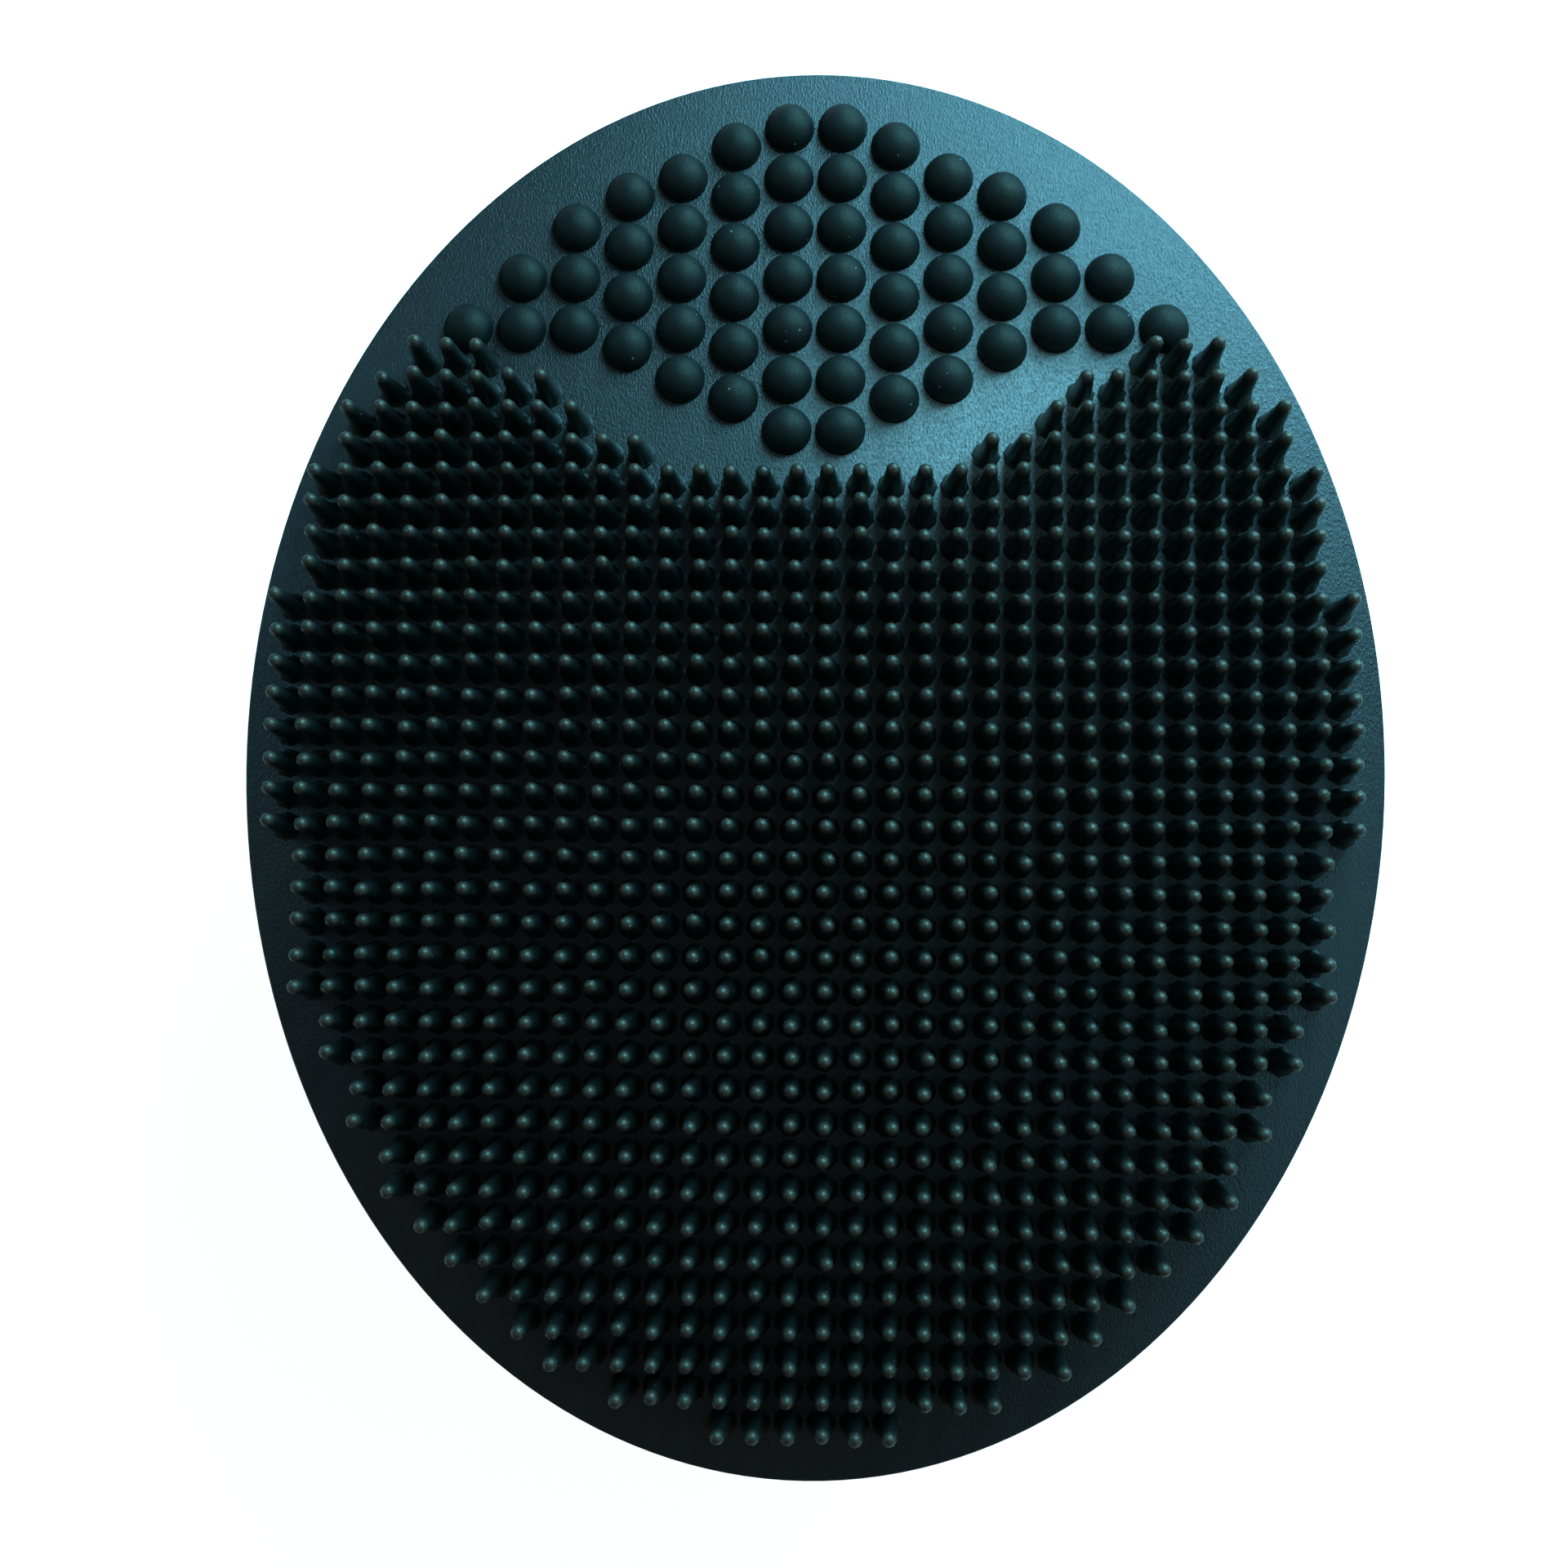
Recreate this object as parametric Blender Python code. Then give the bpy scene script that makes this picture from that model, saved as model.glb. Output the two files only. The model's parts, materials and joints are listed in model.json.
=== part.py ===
"""Rubber curry brush: an oval rubber pad of pins and nubs on a stiff back plate with a hand strap.

The brush lies on its strap with its pins up. +Y runs along the oval to the end with the nubs.
The origin is on the surface that it lies on, under the middle of the oval.
"""

import math

import bmesh
import bpy
from mathutils import Matrix
from mathutils.geometry import delaunay_2d_cdt

MM = 0.001

# The gap left between pieces that touch, mm.
CLEARANCE = 0.3

# The oval rubber pad, mm.
PAD_WIDTH = 107.4
PAD_LENGTH = 133.4
SHEET_THICKNESS = 3.0
RIM_WALL = 2.5
EDGE_ROUND = 0.8
OVAL_SIDES = 64

# The pins: a square grid with a pin on neither centre line, mm.
PIN_PITCH = 3.0
PIN_HEIGHT = 6.5
PIN_FOOT_RADIUS = 1.5
PIN_SIDE_MARGIN = 3.3
PIN_END_MARGIN = 1.3
PIN_FIELD_SHIFT = 2.7
PIN_CORNER_CUT = 16.7
PIN_TO_NUB = 3.6
PIN_SIDES = 3

# The nubs: columns beside the centre line, which get shorter towards the sides, mm.
NUB_RADIUS = 2.35
NUB_HEIGHT = 2.2
NUB_COLUMN_PITCH = 5.16
NUB_ROW_PITCH = 5.03
NUB_STAGGER = 3.15
NUB_ROW_INSET = 25.7
NUB_EDGE_MARGIN = 1.2
NUB_SIDES = 6
NUB_WAIST_ANGLE = 50
# Each column outwards from the centre line: its first row, its nubs, and whether it is staggered.
NUB_COLUMNS = ((-2, 7, 0), (-2, 6, 1), (-1, 5, 0), (-1, 4, 1), (0, 3, 0), (0, 2, 0), (0, 1, 0))

# The gap in the pins around the nubs, from the main row of nubs, mm and a slope.
FIELD_TOP_BELOW_ROW = 2.0
NOTCH_FLOOR_BELOW_ROW = 15.4
NOTCH_POINT_BELOW_ROW = 21.5
NOTCH_SLOPE = 0.6

# The back plate with its ears, mm.
PLATE_THICKNESS = 2.7
HINGE_INSET = 12.7
HINGE_RISE = 5.0
EAR_RADIUS = 4.8
EAR_THICKNESS = 3.0
EAR_SIDE_GAP = 0.5
EAR_ROOT = 0.5

# The hinge pins, mm.
HINGE_PIN_RADIUS = 1.5
HINGE_PIN_HEAD_RADIUS = 2.6
HINGE_PIN_HEAD = 1.2
HINGE_PIN_SIDES = 24

# The cushion under the palm, mm.
CUSHION_THICKNESS = 3.0
CUSHION_LENGTH = 100.0
CUSHION_TO_EAR = 3.2
CUSHION_ROUND = 1.0

# The strap, mm.
STRAP_WIDTH = 38.0
STRAP_THICKNESS = 2.0
STRAP_NECK = 6.0
STRAP_FOLD = 16.0
HAND_HEIGHT = 28.0
INNER_BEND = 18.0
OUTER_BEND = 22.0
INNER_TIP_PAST_MIDDLE = 14.0
OUTER_TIP_PAST_MIDDLE = 20.0
TIP_CORNER = 7.0
BEND_STEPS = 8
# The loop round a hinge pin: how far past a half turn each end goes, in degrees, and its steps.
LOOP_LIFT = 25
LOOP_STEPS = 14
CORNER_STEPS = 5

# The fastener patches and the pull tab, mm.
PATCH_THICKNESS = 1.0
PATCH_EDGE = 2.0
PATCH_CORNER = 2.0
PATCH_TIP_MARGIN = 3.0
TAB_LENGTH = 11.0
TAB_CORNER = 9.0

# Heights above the back of the plate, towards the strap, mm.
CUSHION_TOP = CLEARANCE + CUSHION_THICKNESS
INNER_CROWN = CUSHION_TOP + HAND_HEIGHT
LOOP_LOW = INNER_CROWN + STRAP_THICKNESS + CLEARANCE
HOOK_LOW = LOOP_LOW + PATCH_THICKNESS + CLEARANCE
OUTER_CROWN = HOOK_LOW + PATCH_THICKNESS + CLEARANCE

# Heights above the surface that the brush lies on, mm.
PLATE_BACK = OUTER_CROWN + STRAP_THICKNESS
PLATE_FRONT = PLATE_BACK + PLATE_THICKNESS
SHEET_BACK = PLATE_FRONT + CLEARANCE
SHEET_FRONT = SHEET_BACK + SHEET_THICKNESS

# Places across the brush, mm.
HALF_WIDTH = PAD_WIDTH / 2
HALF_LENGTH = PAD_LENGTH / 2
RECESS_INSET = RIM_WALL
PLATE_INSET = RIM_WALL + CLEARANCE
HINGE_X = HALF_WIDTH - HINGE_INSET
EAR_INNER_Y = STRAP_WIDTH / 2 + EAR_SIDE_GAP
EAR_OUTER_Y = EAR_INNER_Y + EAR_THICKNESS
NUB_ROW_Y = HALF_LENGTH - NUB_ROW_INSET


def clear_scene():
    for obj in list(bpy.data.objects):
        bpy.data.objects.remove(obj)


def material(name, colour, roughness, metallic=0.0):
    made = bpy.data.materials.new(name)
    made.use_nodes = True
    shader = made.node_tree.nodes["Principled BSDF"]
    shader.inputs["Base Color"].default_value = (*colour, 1.0)
    shader.inputs["Roughness"].default_value = roughness
    shader.inputs["Metallic"].default_value = metallic
    return made


def object_from(bm, name, finish, smooth_below=None):
    """A bmesh in millimetres made into a named object in metres, with its faces pointing out."""
    bmesh.ops.recalc_face_normals(bm, faces=bm.faces)
    bmesh.ops.scale(bm, vec=(MM, MM, MM), verts=bm.verts)
    mesh = bpy.data.meshes.new(name)
    bm.to_mesh(mesh)
    bm.free()
    if finish:
        mesh.materials.append(finish)
    if smooth_below:
        mesh.shade_smooth()
        mesh.set_sharp_from_angle(angle=math.radians(smooth_below))
    obj = bpy.data.objects.new(name, mesh)
    bpy.context.scene.collection.objects.link(obj)
    return obj


def cutter(bm, name):
    obj = object_from(bm, name, None)
    obj.hide_render = True
    obj.display_type = "WIRE"
    return obj


def boolean(obj, other, operation):
    modifier = obj.modifiers.new(f"{operation.lower()} {other.name}", "BOOLEAN")
    modifier.operation = operation
    modifier.solver = "EXACT"
    modifier.object = other


def oval(bm, inset, height):
    """The pad's oval drawn inset by a distance, at a height."""
    ring = []
    for step in range(OVAL_SIDES):
        turn = math.tau * step / OVAL_SIDES
        place = ((HALF_WIDTH - inset) * math.cos(turn), (HALF_LENGTH - inset) * math.sin(turn), height)
        ring.append(bm.verts.new(place))
    return ring


def join_rings(bm, first, second):
    """The band of faces between two rings of as many points."""
    for here in range(len(first)):
        after = (here + 1) % len(first)
        bm.faces.new((first[here], first[after], second[after], second[here]))


def circle(radius, sides, centre=(0.0, 0.0), start=0.0):
    """The points of a regular polygon in a plane."""
    turns = [start + math.tau * step / sides for step in range(sides)]
    return [(centre[0] + radius * math.cos(t), centre[1] + radius * math.sin(t)) for t in turns]


# ---------------------------------------------------------------- rubber pad


def nub_centres():
    """Where the nubs stand, on both sides of the centre line and wholly on the sheet."""
    centres = []
    reach = NUB_RADIUS + NUB_EDGE_MARGIN
    for column, (first, count, staggered) in enumerate(NUB_COLUMNS):
        x = (column + 0.5) * NUB_COLUMN_PITCH
        for row in range(first, first + count):
            y = NUB_ROW_Y + row * NUB_ROW_PITCH + staggered * NUB_STAGGER
            if (x / (HALF_WIDTH - reach)) ** 2 + (y / (HALF_LENGTH - reach)) ** 2 < 1:
                centres += [(x, y), (-x, y)]
    return centres


def pin_centres(nubs):
    """The grid of pins inside the oval, open around the nubs."""
    field_width = HALF_WIDTH - PIN_SIDE_MARGIN
    field_length = HALF_LENGTH - PIN_END_MARGIN
    field_top = NUB_ROW_Y - FIELD_TOP_BELOW_ROW
    corner = HALF_WIDTH + field_top - PIN_CORNER_CUT
    columns = math.ceil(field_width / PIN_PITCH)
    rows = math.ceil(HALF_LENGTH / PIN_PITCH)
    centres = []
    for row in range(-rows, rows):
        y = (row + 0.5) * PIN_PITCH
        for column in range(-columns, columns):
            x = (column + 0.5) * PIN_PITCH
            slope = NUB_ROW_Y - NOTCH_POINT_BELOW_ROW + NOTCH_SLOPE * abs(x)
            notch = max(NUB_ROW_Y - NOTCH_FLOOR_BELOW_ROW, slope)
            inside = (x / field_width) ** 2 + ((y - PIN_FIELD_SHIFT) / field_length) ** 2 <= 1
            below = y <= min(notch, field_top) and abs(x) + y <= corner
            if inside and below and all(math.dist((x, y), nub) > PIN_TO_NUB for nub in nubs):
                centres.append((x, y))
    return centres


def sheet_with_feet(bm, rim, feet, height):
    """The flat front of the sheet, from its rim ring to the ring of points round each foot."""
    points = [vert.co.xy for vert in rim]
    owner = [None] * len(points)
    edges = [(step, (step + 1) % len(rim)) for step in range(len(rim))]
    for number, foot in enumerate(feet):
        start = len(points)
        points += foot
        owner += [number] * len(foot)
        edges += [(start + step, start + (step + 1) % len(foot)) for step in range(len(foot))]
    _, _, faces, sources, _, _ = delaunay_2d_cdt(points, edges, [], 0, 1e-6)
    ring = list(rim)
    for foot in feet:
        ring += [bm.verts.new((x, y, height)) for x, y in foot]
    for face in faces:
        corners = [sources[index][0] for index in face]
        owners = {owner[corner] for corner in corners}
        if len(owners) > 1 or None in owners:
            bm.faces.new([ring[corner] for corner in corners])
    return ring


def rubber_pad(finish):
    """One moulding: the sheet, its rim round the back plate, the pins and the nubs."""
    bm = bmesh.new()
    front = oval(bm, EDGE_ROUND, SHEET_FRONT)
    set_in = EDGE_ROUND * (1 - math.cos(math.radians(45)))
    shoulder = oval(bm, set_in, SHEET_FRONT - set_in)
    side = oval(bm, 0, SHEET_FRONT - EDGE_ROUND)
    rim_back = oval(bm, 0, PLATE_BACK)
    recess_back = oval(bm, RECESS_INSET, PLATE_BACK)
    recess_floor = oval(bm, RECESS_INSET, SHEET_BACK)
    for first, second in ((front, shoulder), (shoulder, side), (side, rim_back)):
        join_rings(bm, first, second)
    join_rings(bm, rim_back, recess_back)
    join_rings(bm, recess_back, recess_floor)
    bm.faces.new(recess_floor)

    nubs = nub_centres()
    pins = pin_centres(nubs)
    feet = [circle(NUB_RADIUS, NUB_SIDES, centre) for centre in nubs]
    feet += [circle(PIN_FOOT_RADIUS, PIN_SIDES, centre, math.radians(-90)) for centre in pins]
    ring = sheet_with_feet(bm, front, feet, SHEET_FRONT)

    place = len(front)
    turn = math.radians(NUB_WAIST_ANGLE)
    height = SHEET_FRONT + NUB_HEIGHT * math.sin(turn)
    for centre in nubs:
        foot = ring[place : place + NUB_SIDES]
        place += NUB_SIDES
        narrowed = circle(NUB_RADIUS * math.cos(turn), NUB_SIDES, centre)
        waist = [bm.verts.new((x, y, height)) for x, y in narrowed]
        join_rings(bm, foot, waist)
        point_up(bm, waist, centre, SHEET_FRONT + NUB_HEIGHT)
    for centre in pins:
        point_up(bm, ring[place : place + PIN_SIDES], centre, SHEET_FRONT + PIN_HEIGHT)
        place += PIN_SIDES
    return object_from(bm, "rubber_pad", finish)


def point_up(bm, ring, centre, height):
    tip = bm.verts.new((*centre, height))
    for here in range(len(ring)):
        bm.faces.new((ring[here], ring[(here + 1) % len(ring)], tip))


# ---------------------------------------------------------------- plate, pins and cushion


def oval_disc(bm, half_width, half_length, low, high, rounding):
    """A flat oval disc with its lower edge rounded, as (half axes, two heights, radius)."""
    rings = []
    set_in = rounding * (1 - math.cos(math.radians(45)))
    for inset, height in ((0, high), (0, low + rounding), (set_in, low + set_in), (rounding, low)):
        ring = []
        for step in range(OVAL_SIDES):
            turn = math.tau * step / OVAL_SIDES
            x, y = (half_width - inset) * math.cos(turn), (half_length - inset) * math.sin(turn)
            ring.append(bm.verts.new((x, y, height)))
        rings.append(ring)
    for first, second in zip(rings, rings[1:]):
        join_rings(bm, first, second)
    bm.faces.new(rings[0])
    bm.faces.new(rings[-1])


def prism(bm, outline, low_y, high_y):
    """An outline of (x, z) points, carried along Y."""
    low = [bm.verts.new((x, low_y, z)) for x, z in outline]
    high = [bm.verts.new((x, high_y, z)) for x, z in outline]
    join_rings(bm, low, high)
    bm.faces.new(low)
    bm.faces.new(high)


def rod_along_y(bm, x, z, profile, sides):
    """A turned piece on an axis along Y, from its (y, radius) steps."""
    rings = []
    for y, radius in profile:
        rings.append([bm.verts.new((px, y, pz)) for px, pz in circle(radius, sides, (x, z))])
    for first, second in zip(rings, rings[1:]):
        join_rings(bm, first, second)
    bm.faces.new(rings[0])
    bm.faces.new(rings[-1])


def ear_outline(x):
    """An ear seen along Y: a foot in the plate, straight sides and a round end on the hinge axis."""
    axis_z = PLATE_BACK - HINGE_RISE
    steps = 12
    turns = [math.pi + math.pi * step / steps for step in range(steps + 1)]
    outline = [(x + EAR_RADIUS * math.cos(t), axis_z + EAR_RADIUS * math.sin(t)) for t in turns]
    root = PLATE_BACK + EAR_ROOT
    return outline + [(x + EAR_RADIUS, root), (x - EAR_RADIUS, root)]


def back_plate(finish):
    """The stiff oval plate in the pad's back, with a pair of ears for each hinge pin."""
    bm = bmesh.new()
    half_width = HALF_WIDTH - PLATE_INSET
    half_length = HALF_LENGTH - PLATE_INSET
    oval_disc(bm, half_width, half_length, PLATE_BACK, PLATE_FRONT, EDGE_ROUND)
    plate = object_from(bm, "back_plate", finish, smooth_below=40)
    ears = (("front", -EAR_OUTER_Y, -EAR_INNER_Y), ("rear", EAR_INNER_Y, EAR_OUTER_Y))
    for side, x in (("left", -HINGE_X), ("right", HINGE_X)):
        for end, low_y, high_y in ears:
            bm = bmesh.new()
            prism(bm, ear_outline(x), low_y, high_y)
            boolean(plate, cutter(bm, f"ear {side} {end}"), "UNION")
        bm = bmesh.new()
        bore = HINGE_PIN_RADIUS + CLEARANCE
        past = EAR_OUTER_Y + EAR_THICKNESS
        rod_along_y(bm, x, PLATE_BACK - HINGE_RISE, ((-past, bore), (past, bore)), HINGE_PIN_SIDES)
        boolean(plate, cutter(bm, f"bore {side}"), "DIFFERENCE")
    return plate


def hinge_pin(name, x, finish):
    """A steel pin through a pair of ears, with a domed head at each end."""
    shank_end = EAR_OUTER_Y + CLEARANCE
    dome = HINGE_PIN_HEAD_RADIUS * 0.6
    steps = [
        (shank_end + HINGE_PIN_HEAD, dome),
        (shank_end + HINGE_PIN_HEAD * 0.6, HINGE_PIN_HEAD_RADIUS),
        (shank_end, HINGE_PIN_HEAD_RADIUS),
        (shank_end, HINGE_PIN_RADIUS),
    ]
    profile = [(-y, radius) for y, radius in steps] + steps[::-1]
    bm = bmesh.new()
    rod_along_y(bm, x, PLATE_BACK - HINGE_RISE, profile, HINGE_PIN_SIDES)
    return object_from(bm, name, finish, smooth_below=40)


def palm_cushion(finish):
    """The foam pad that the palm presses on."""
    bm = bmesh.new()
    half_width = HINGE_X - EAR_RADIUS - CUSHION_TO_EAR
    low, high = PLATE_BACK - CUSHION_TOP, PLATE_BACK - CLEARANCE
    oval_disc(bm, half_width, CUSHION_LENGTH / 2, low, high, CUSHION_ROUND)
    return object_from(bm, "palm_cushion", finish, smooth_below=40)


# ---------------------------------------------------------------- strap


def arch_point(travel, offset, crown, bend):
    """A point of a strap half, in (x, rise) on the +X side.

    travel is the distance from the hinge axis along the strap's inner face, which goes straight up,
    turns through a quarter circle and runs level towards the middle.
    offset is the distance out from that face.
    """
    straight = crown - bend - HINGE_RISE
    quarter = bend * math.pi / 2
    if travel <= straight:
        return HINGE_X + offset, HINGE_RISE + travel
    turn = min(travel - straight, quarter) / bend
    x = HINGE_X - bend + (bend + offset) * math.cos(turn)
    rise = crown - bend + (bend + offset) * math.sin(turn)
    return x - max(0, travel - straight - quarter), rise


def strap_outline(crown, bend, tip):
    """A strap half seen along Y, in (x, rise): its loop round the pin, folded end and run to the tip."""
    straight = crown - bend - HINGE_RISE
    quarter = bend * math.pi / 2
    level = HINGE_X - bend + tip
    fold_end = STRAP_NECK + STRAP_FOLD
    travels = {STRAP_NECK, straight, fold_end}
    travels |= {straight + quarter * step / BEND_STEPS for step in range(1, BEND_STEPS + 1)}
    run = sorted({round(travel, 6) for travel in travels if travel >= STRAP_NECK})
    folded = [travel for travel in run if travel <= fold_end]
    run.append(straight + quarter + level)
    single = [travel for travel in run if travel >= fold_end]
    outer = [arch_point(travel, STRAP_THICKNESS, crown, bend) for travel in run]
    inner = [arch_point(travel, 0, crown, bend) for travel in single[::-1]]
    inner += [arch_point(travel, -STRAP_THICKNESS, crown, bend) for travel in folded[::-1]]
    loop_radius = HINGE_PIN_RADIUS + CLEARANCE + STRAP_THICKNESS
    lift = math.radians(LOOP_LIFT)
    sweep = (math.pi + 2 * lift) / LOOP_STEPS
    loop = []
    for step in range(LOOP_STEPS + 1):
        turn = math.pi - lift + sweep * step
        x = HINGE_X + loop_radius * math.cos(turn)
        loop.append((x, HINGE_RISE + loop_radius * math.sin(turn)))
    return outer + inner + loop


def round_corners(bm, x, radius):
    """Rounds the two corners of a strap's or a tab's end, seen from above, where it ends at x."""
    ends = [edge for edge in bm.edges if all(abs(vert.co.x - x) < 1e-4 for vert in edge.verts)]
    upright = [edge for edge in ends if abs(edge.verts[0].co.z - edge.verts[1].co.z) > CLEARANCE]
    bmesh.ops.bevel(bm, geom=upright, offset=radius, segments=CORNER_STEPS, profile=0.5, affect="EDGES")


def strap_half(name, side, crown, bend, tip, finish):
    """One half of the strap. side is 1 for the half on the +X pin and -1 for the one on the -X pin."""
    bm = bmesh.new()
    outline = [(side * x, PLATE_BACK - rise) for x, rise in strap_outline(crown, bend, tip)]
    prism(bm, outline, -STRAP_WIDTH / 2, STRAP_WIDTH / 2)
    round_corners(bm, -side * tip, TIP_CORNER)
    strap = object_from(bm, name, finish, smooth_below=30)
    bm = bmesh.new()
    bore = HINGE_PIN_RADIUS + CLEARANCE
    profile = ((-STRAP_WIDTH, bore), (STRAP_WIDTH, bore))
    rod_along_y(bm, side * HINGE_X, PLATE_BACK - HINGE_RISE, profile, HINGE_PIN_SIDES)
    boolean(strap, cutter(bm, f"bore of {name}"), "DIFFERENCE")
    return strap


def flat_piece(name, low_x, high_x, rise, thickness, width, corners, finish):
    """A flat patch or tab, level with the crown of the strap. corners gives the radius at each end."""
    bm = bmesh.new()
    low_z, high_z = PLATE_BACK - rise - thickness, PLATE_BACK - rise
    outline = [(low_x, low_z), (high_x, low_z), (high_x, high_z), (low_x, high_z)]
    prism(bm, outline, -width / 2, width / 2)
    for x, radius in zip((low_x, high_x), corners):
        if radius:
            round_corners(bm, x, radius)
    return object_from(bm, name, finish, smooth_below=30)


def patches(loop_finish, hook_finish):
    """The fastener: one half outside the inner strap, and the other inside the outer strap."""
    width = STRAP_WIDTH - 2 * PATCH_EDGE
    inner_end = INNER_TIP_PAST_MIDDLE - PATCH_TIP_MARGIN
    outer_end = -(OUTER_TIP_PAST_MIDDLE - PATCH_TIP_MARGIN)
    ends = (outer_end, inner_end)
    loop = flat_piece("loop_patch", *ends, LOOP_LOW, PATCH_THICKNESS, width, (0, PATCH_CORNER), loop_finish)
    hook = flat_piece("hook_patch", *ends, HOOK_LOW, PATCH_THICKNESS, width, (PATCH_CORNER, 0), hook_finish)
    return loop, hook


def pull_tab(finish):
    """The moulded tab on the end of the outer strap, in line with it."""
    high_x = -OUTER_TIP_PAST_MIDDLE - CLEARANCE
    width = STRAP_WIDTH - 2 * TIP_CORNER
    corners = (TAB_CORNER, 0)
    low_x = high_x - TAB_LENGTH
    return flat_piece("pull_tab", low_x, high_x, OUTER_CROWN, STRAP_THICKNESS, width, corners, finish)


def on_hinge(name, x, objects):
    """An empty on a hinge axis, which the pieces that turn about it hang from."""
    axis = bpy.data.objects.new(name, None)
    axis.location = (x * MM, 0, (PLATE_BACK - HINGE_RISE) * MM)
    bpy.context.scene.collection.objects.link(axis)
    for obj in objects:
        obj.parent = axis
        obj.matrix_parent_inverse = Matrix.Translation(-axis.location)


def main():
    clear_scene()
    rubber = material("rubber", (0.015, 0.018, 0.021), 0.55)
    plastic = material("plate plastic", (0.035, 0.037, 0.04), 0.45)
    steel = material("hinge steel", (0.62, 0.62, 0.63), 0.3, metallic=1.0)
    foam = material("cushion foam", (0.05, 0.053, 0.058), 0.85)
    webbing = material("strap webbing", (0.018, 0.019, 0.021), 0.8)
    loop = material("loop fastener", (0.025, 0.026, 0.028), 0.95)
    hook = material("hook fastener", (0.02, 0.021, 0.023), 0.6)
    tab = material("tab rubber", (0.05, 0.055, 0.06), 0.5)

    rubber_pad(rubber)
    back_plate(plastic)
    hinge_pin("hinge_pin_left", -HINGE_X, steel)
    hinge_pin("hinge_pin_right", HINGE_X, steel)
    palm_cushion(foam)
    inner = strap_half("strap_inner", -1, INNER_CROWN, INNER_BEND, INNER_TIP_PAST_MIDDLE, webbing)
    outer = strap_half("strap_outer", 1, OUTER_CROWN, OUTER_BEND, OUTER_TIP_PAST_MIDDLE, webbing)
    loop_patch, hook_patch = patches(loop, hook)
    on_hinge("inner strap axis", -HINGE_X, (inner, loop_patch))
    on_hinge("outer strap axis", HINGE_X, (outer, hook_patch, pull_tab(tab)))


main()
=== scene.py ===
"""The looks of a rubber curry brush: an oval pad of pins and nubs with a webbing hand strap."""

import json
import math
import random

import bmesh
import bpy
from bpy.props import FloatProperty, FloatVectorProperty, IntProperty, PointerProperty
from mathutils import Matrix, Vector


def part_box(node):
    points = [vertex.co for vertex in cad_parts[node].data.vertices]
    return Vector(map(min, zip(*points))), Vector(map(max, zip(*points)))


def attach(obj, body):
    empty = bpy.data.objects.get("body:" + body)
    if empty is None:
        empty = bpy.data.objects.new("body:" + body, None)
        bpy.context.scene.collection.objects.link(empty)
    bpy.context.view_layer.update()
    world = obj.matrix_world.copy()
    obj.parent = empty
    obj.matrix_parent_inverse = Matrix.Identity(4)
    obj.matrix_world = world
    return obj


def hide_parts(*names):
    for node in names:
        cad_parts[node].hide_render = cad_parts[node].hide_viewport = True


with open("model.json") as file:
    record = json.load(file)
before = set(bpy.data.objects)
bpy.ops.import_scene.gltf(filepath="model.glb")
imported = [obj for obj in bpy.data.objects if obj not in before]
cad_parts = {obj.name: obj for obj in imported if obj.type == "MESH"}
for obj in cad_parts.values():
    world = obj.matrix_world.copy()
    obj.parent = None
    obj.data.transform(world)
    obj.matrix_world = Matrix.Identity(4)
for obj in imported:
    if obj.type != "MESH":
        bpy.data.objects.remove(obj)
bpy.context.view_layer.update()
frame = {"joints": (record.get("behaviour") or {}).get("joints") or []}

bl_info = {
    "name": "Rubber Curry Brush",
    "version": (1, 0, 0),
    "blender": (4, 5, 0),
    "location": "3D View > Sidebar > Curry Brush",
    "description": "Models an oval rubber curry brush with pins, nubs and a hand strap",
    "category": "Add Mesh",
}

MM = 0.001

PAD_LOW, PAD_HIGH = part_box("rubber_pad")
PLATE_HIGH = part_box("back_plate")[1]
CUSHION_LOW, CUSHION_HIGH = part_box("palm_cushion")
PIN_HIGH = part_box("hinge_pin_right")[1]
INNER_LOW, INNER_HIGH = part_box("strap_inner")
OUTER_LOW, OUTER_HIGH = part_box("strap_outer")
LOOP_LOW, LOOP_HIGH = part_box("loop_patch")
HOOK_LOW, HOOK_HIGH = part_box("hook_patch")
TAB_LOW, TAB_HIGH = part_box("pull_tab")
JOINT_PLACES = {joint["name"]: joint["pos_m"] for joint in frame["joints"]}
HINGE = Vector(JOINT_PLACES["outer_strap_open"])

HALF_WIDTH = PAD_HIGH.x
HALF_LENGTH = PAD_HIGH.y
PLATE_BACK = PAD_LOW.z
HINGE_RISE = PLATE_BACK - HINGE.z
STRAP_WIDTH = OUTER_HIGH.y - OUTER_LOW.y
# The outside of the ears, just inside the heads of the hinge pins.
EAR_FACE = OUTER_HIGH.y + 3.5 * MM


def length(name, description, default, low=0.0, high=1.0):
    limits = {"min": low, "max": high, "precision": 5, "unit": "LENGTH"}
    return FloatProperty(name=name, description=description, default=default, **limits)


def strength(name, description, default):
    return FloatProperty(name=name, description=description, default=default, min=0)


def colour(name, description, default):
    return FloatVectorProperty(
        name=name, description=description, default=default, size=3, min=0, max=1, subtype="COLOR"
    )


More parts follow.
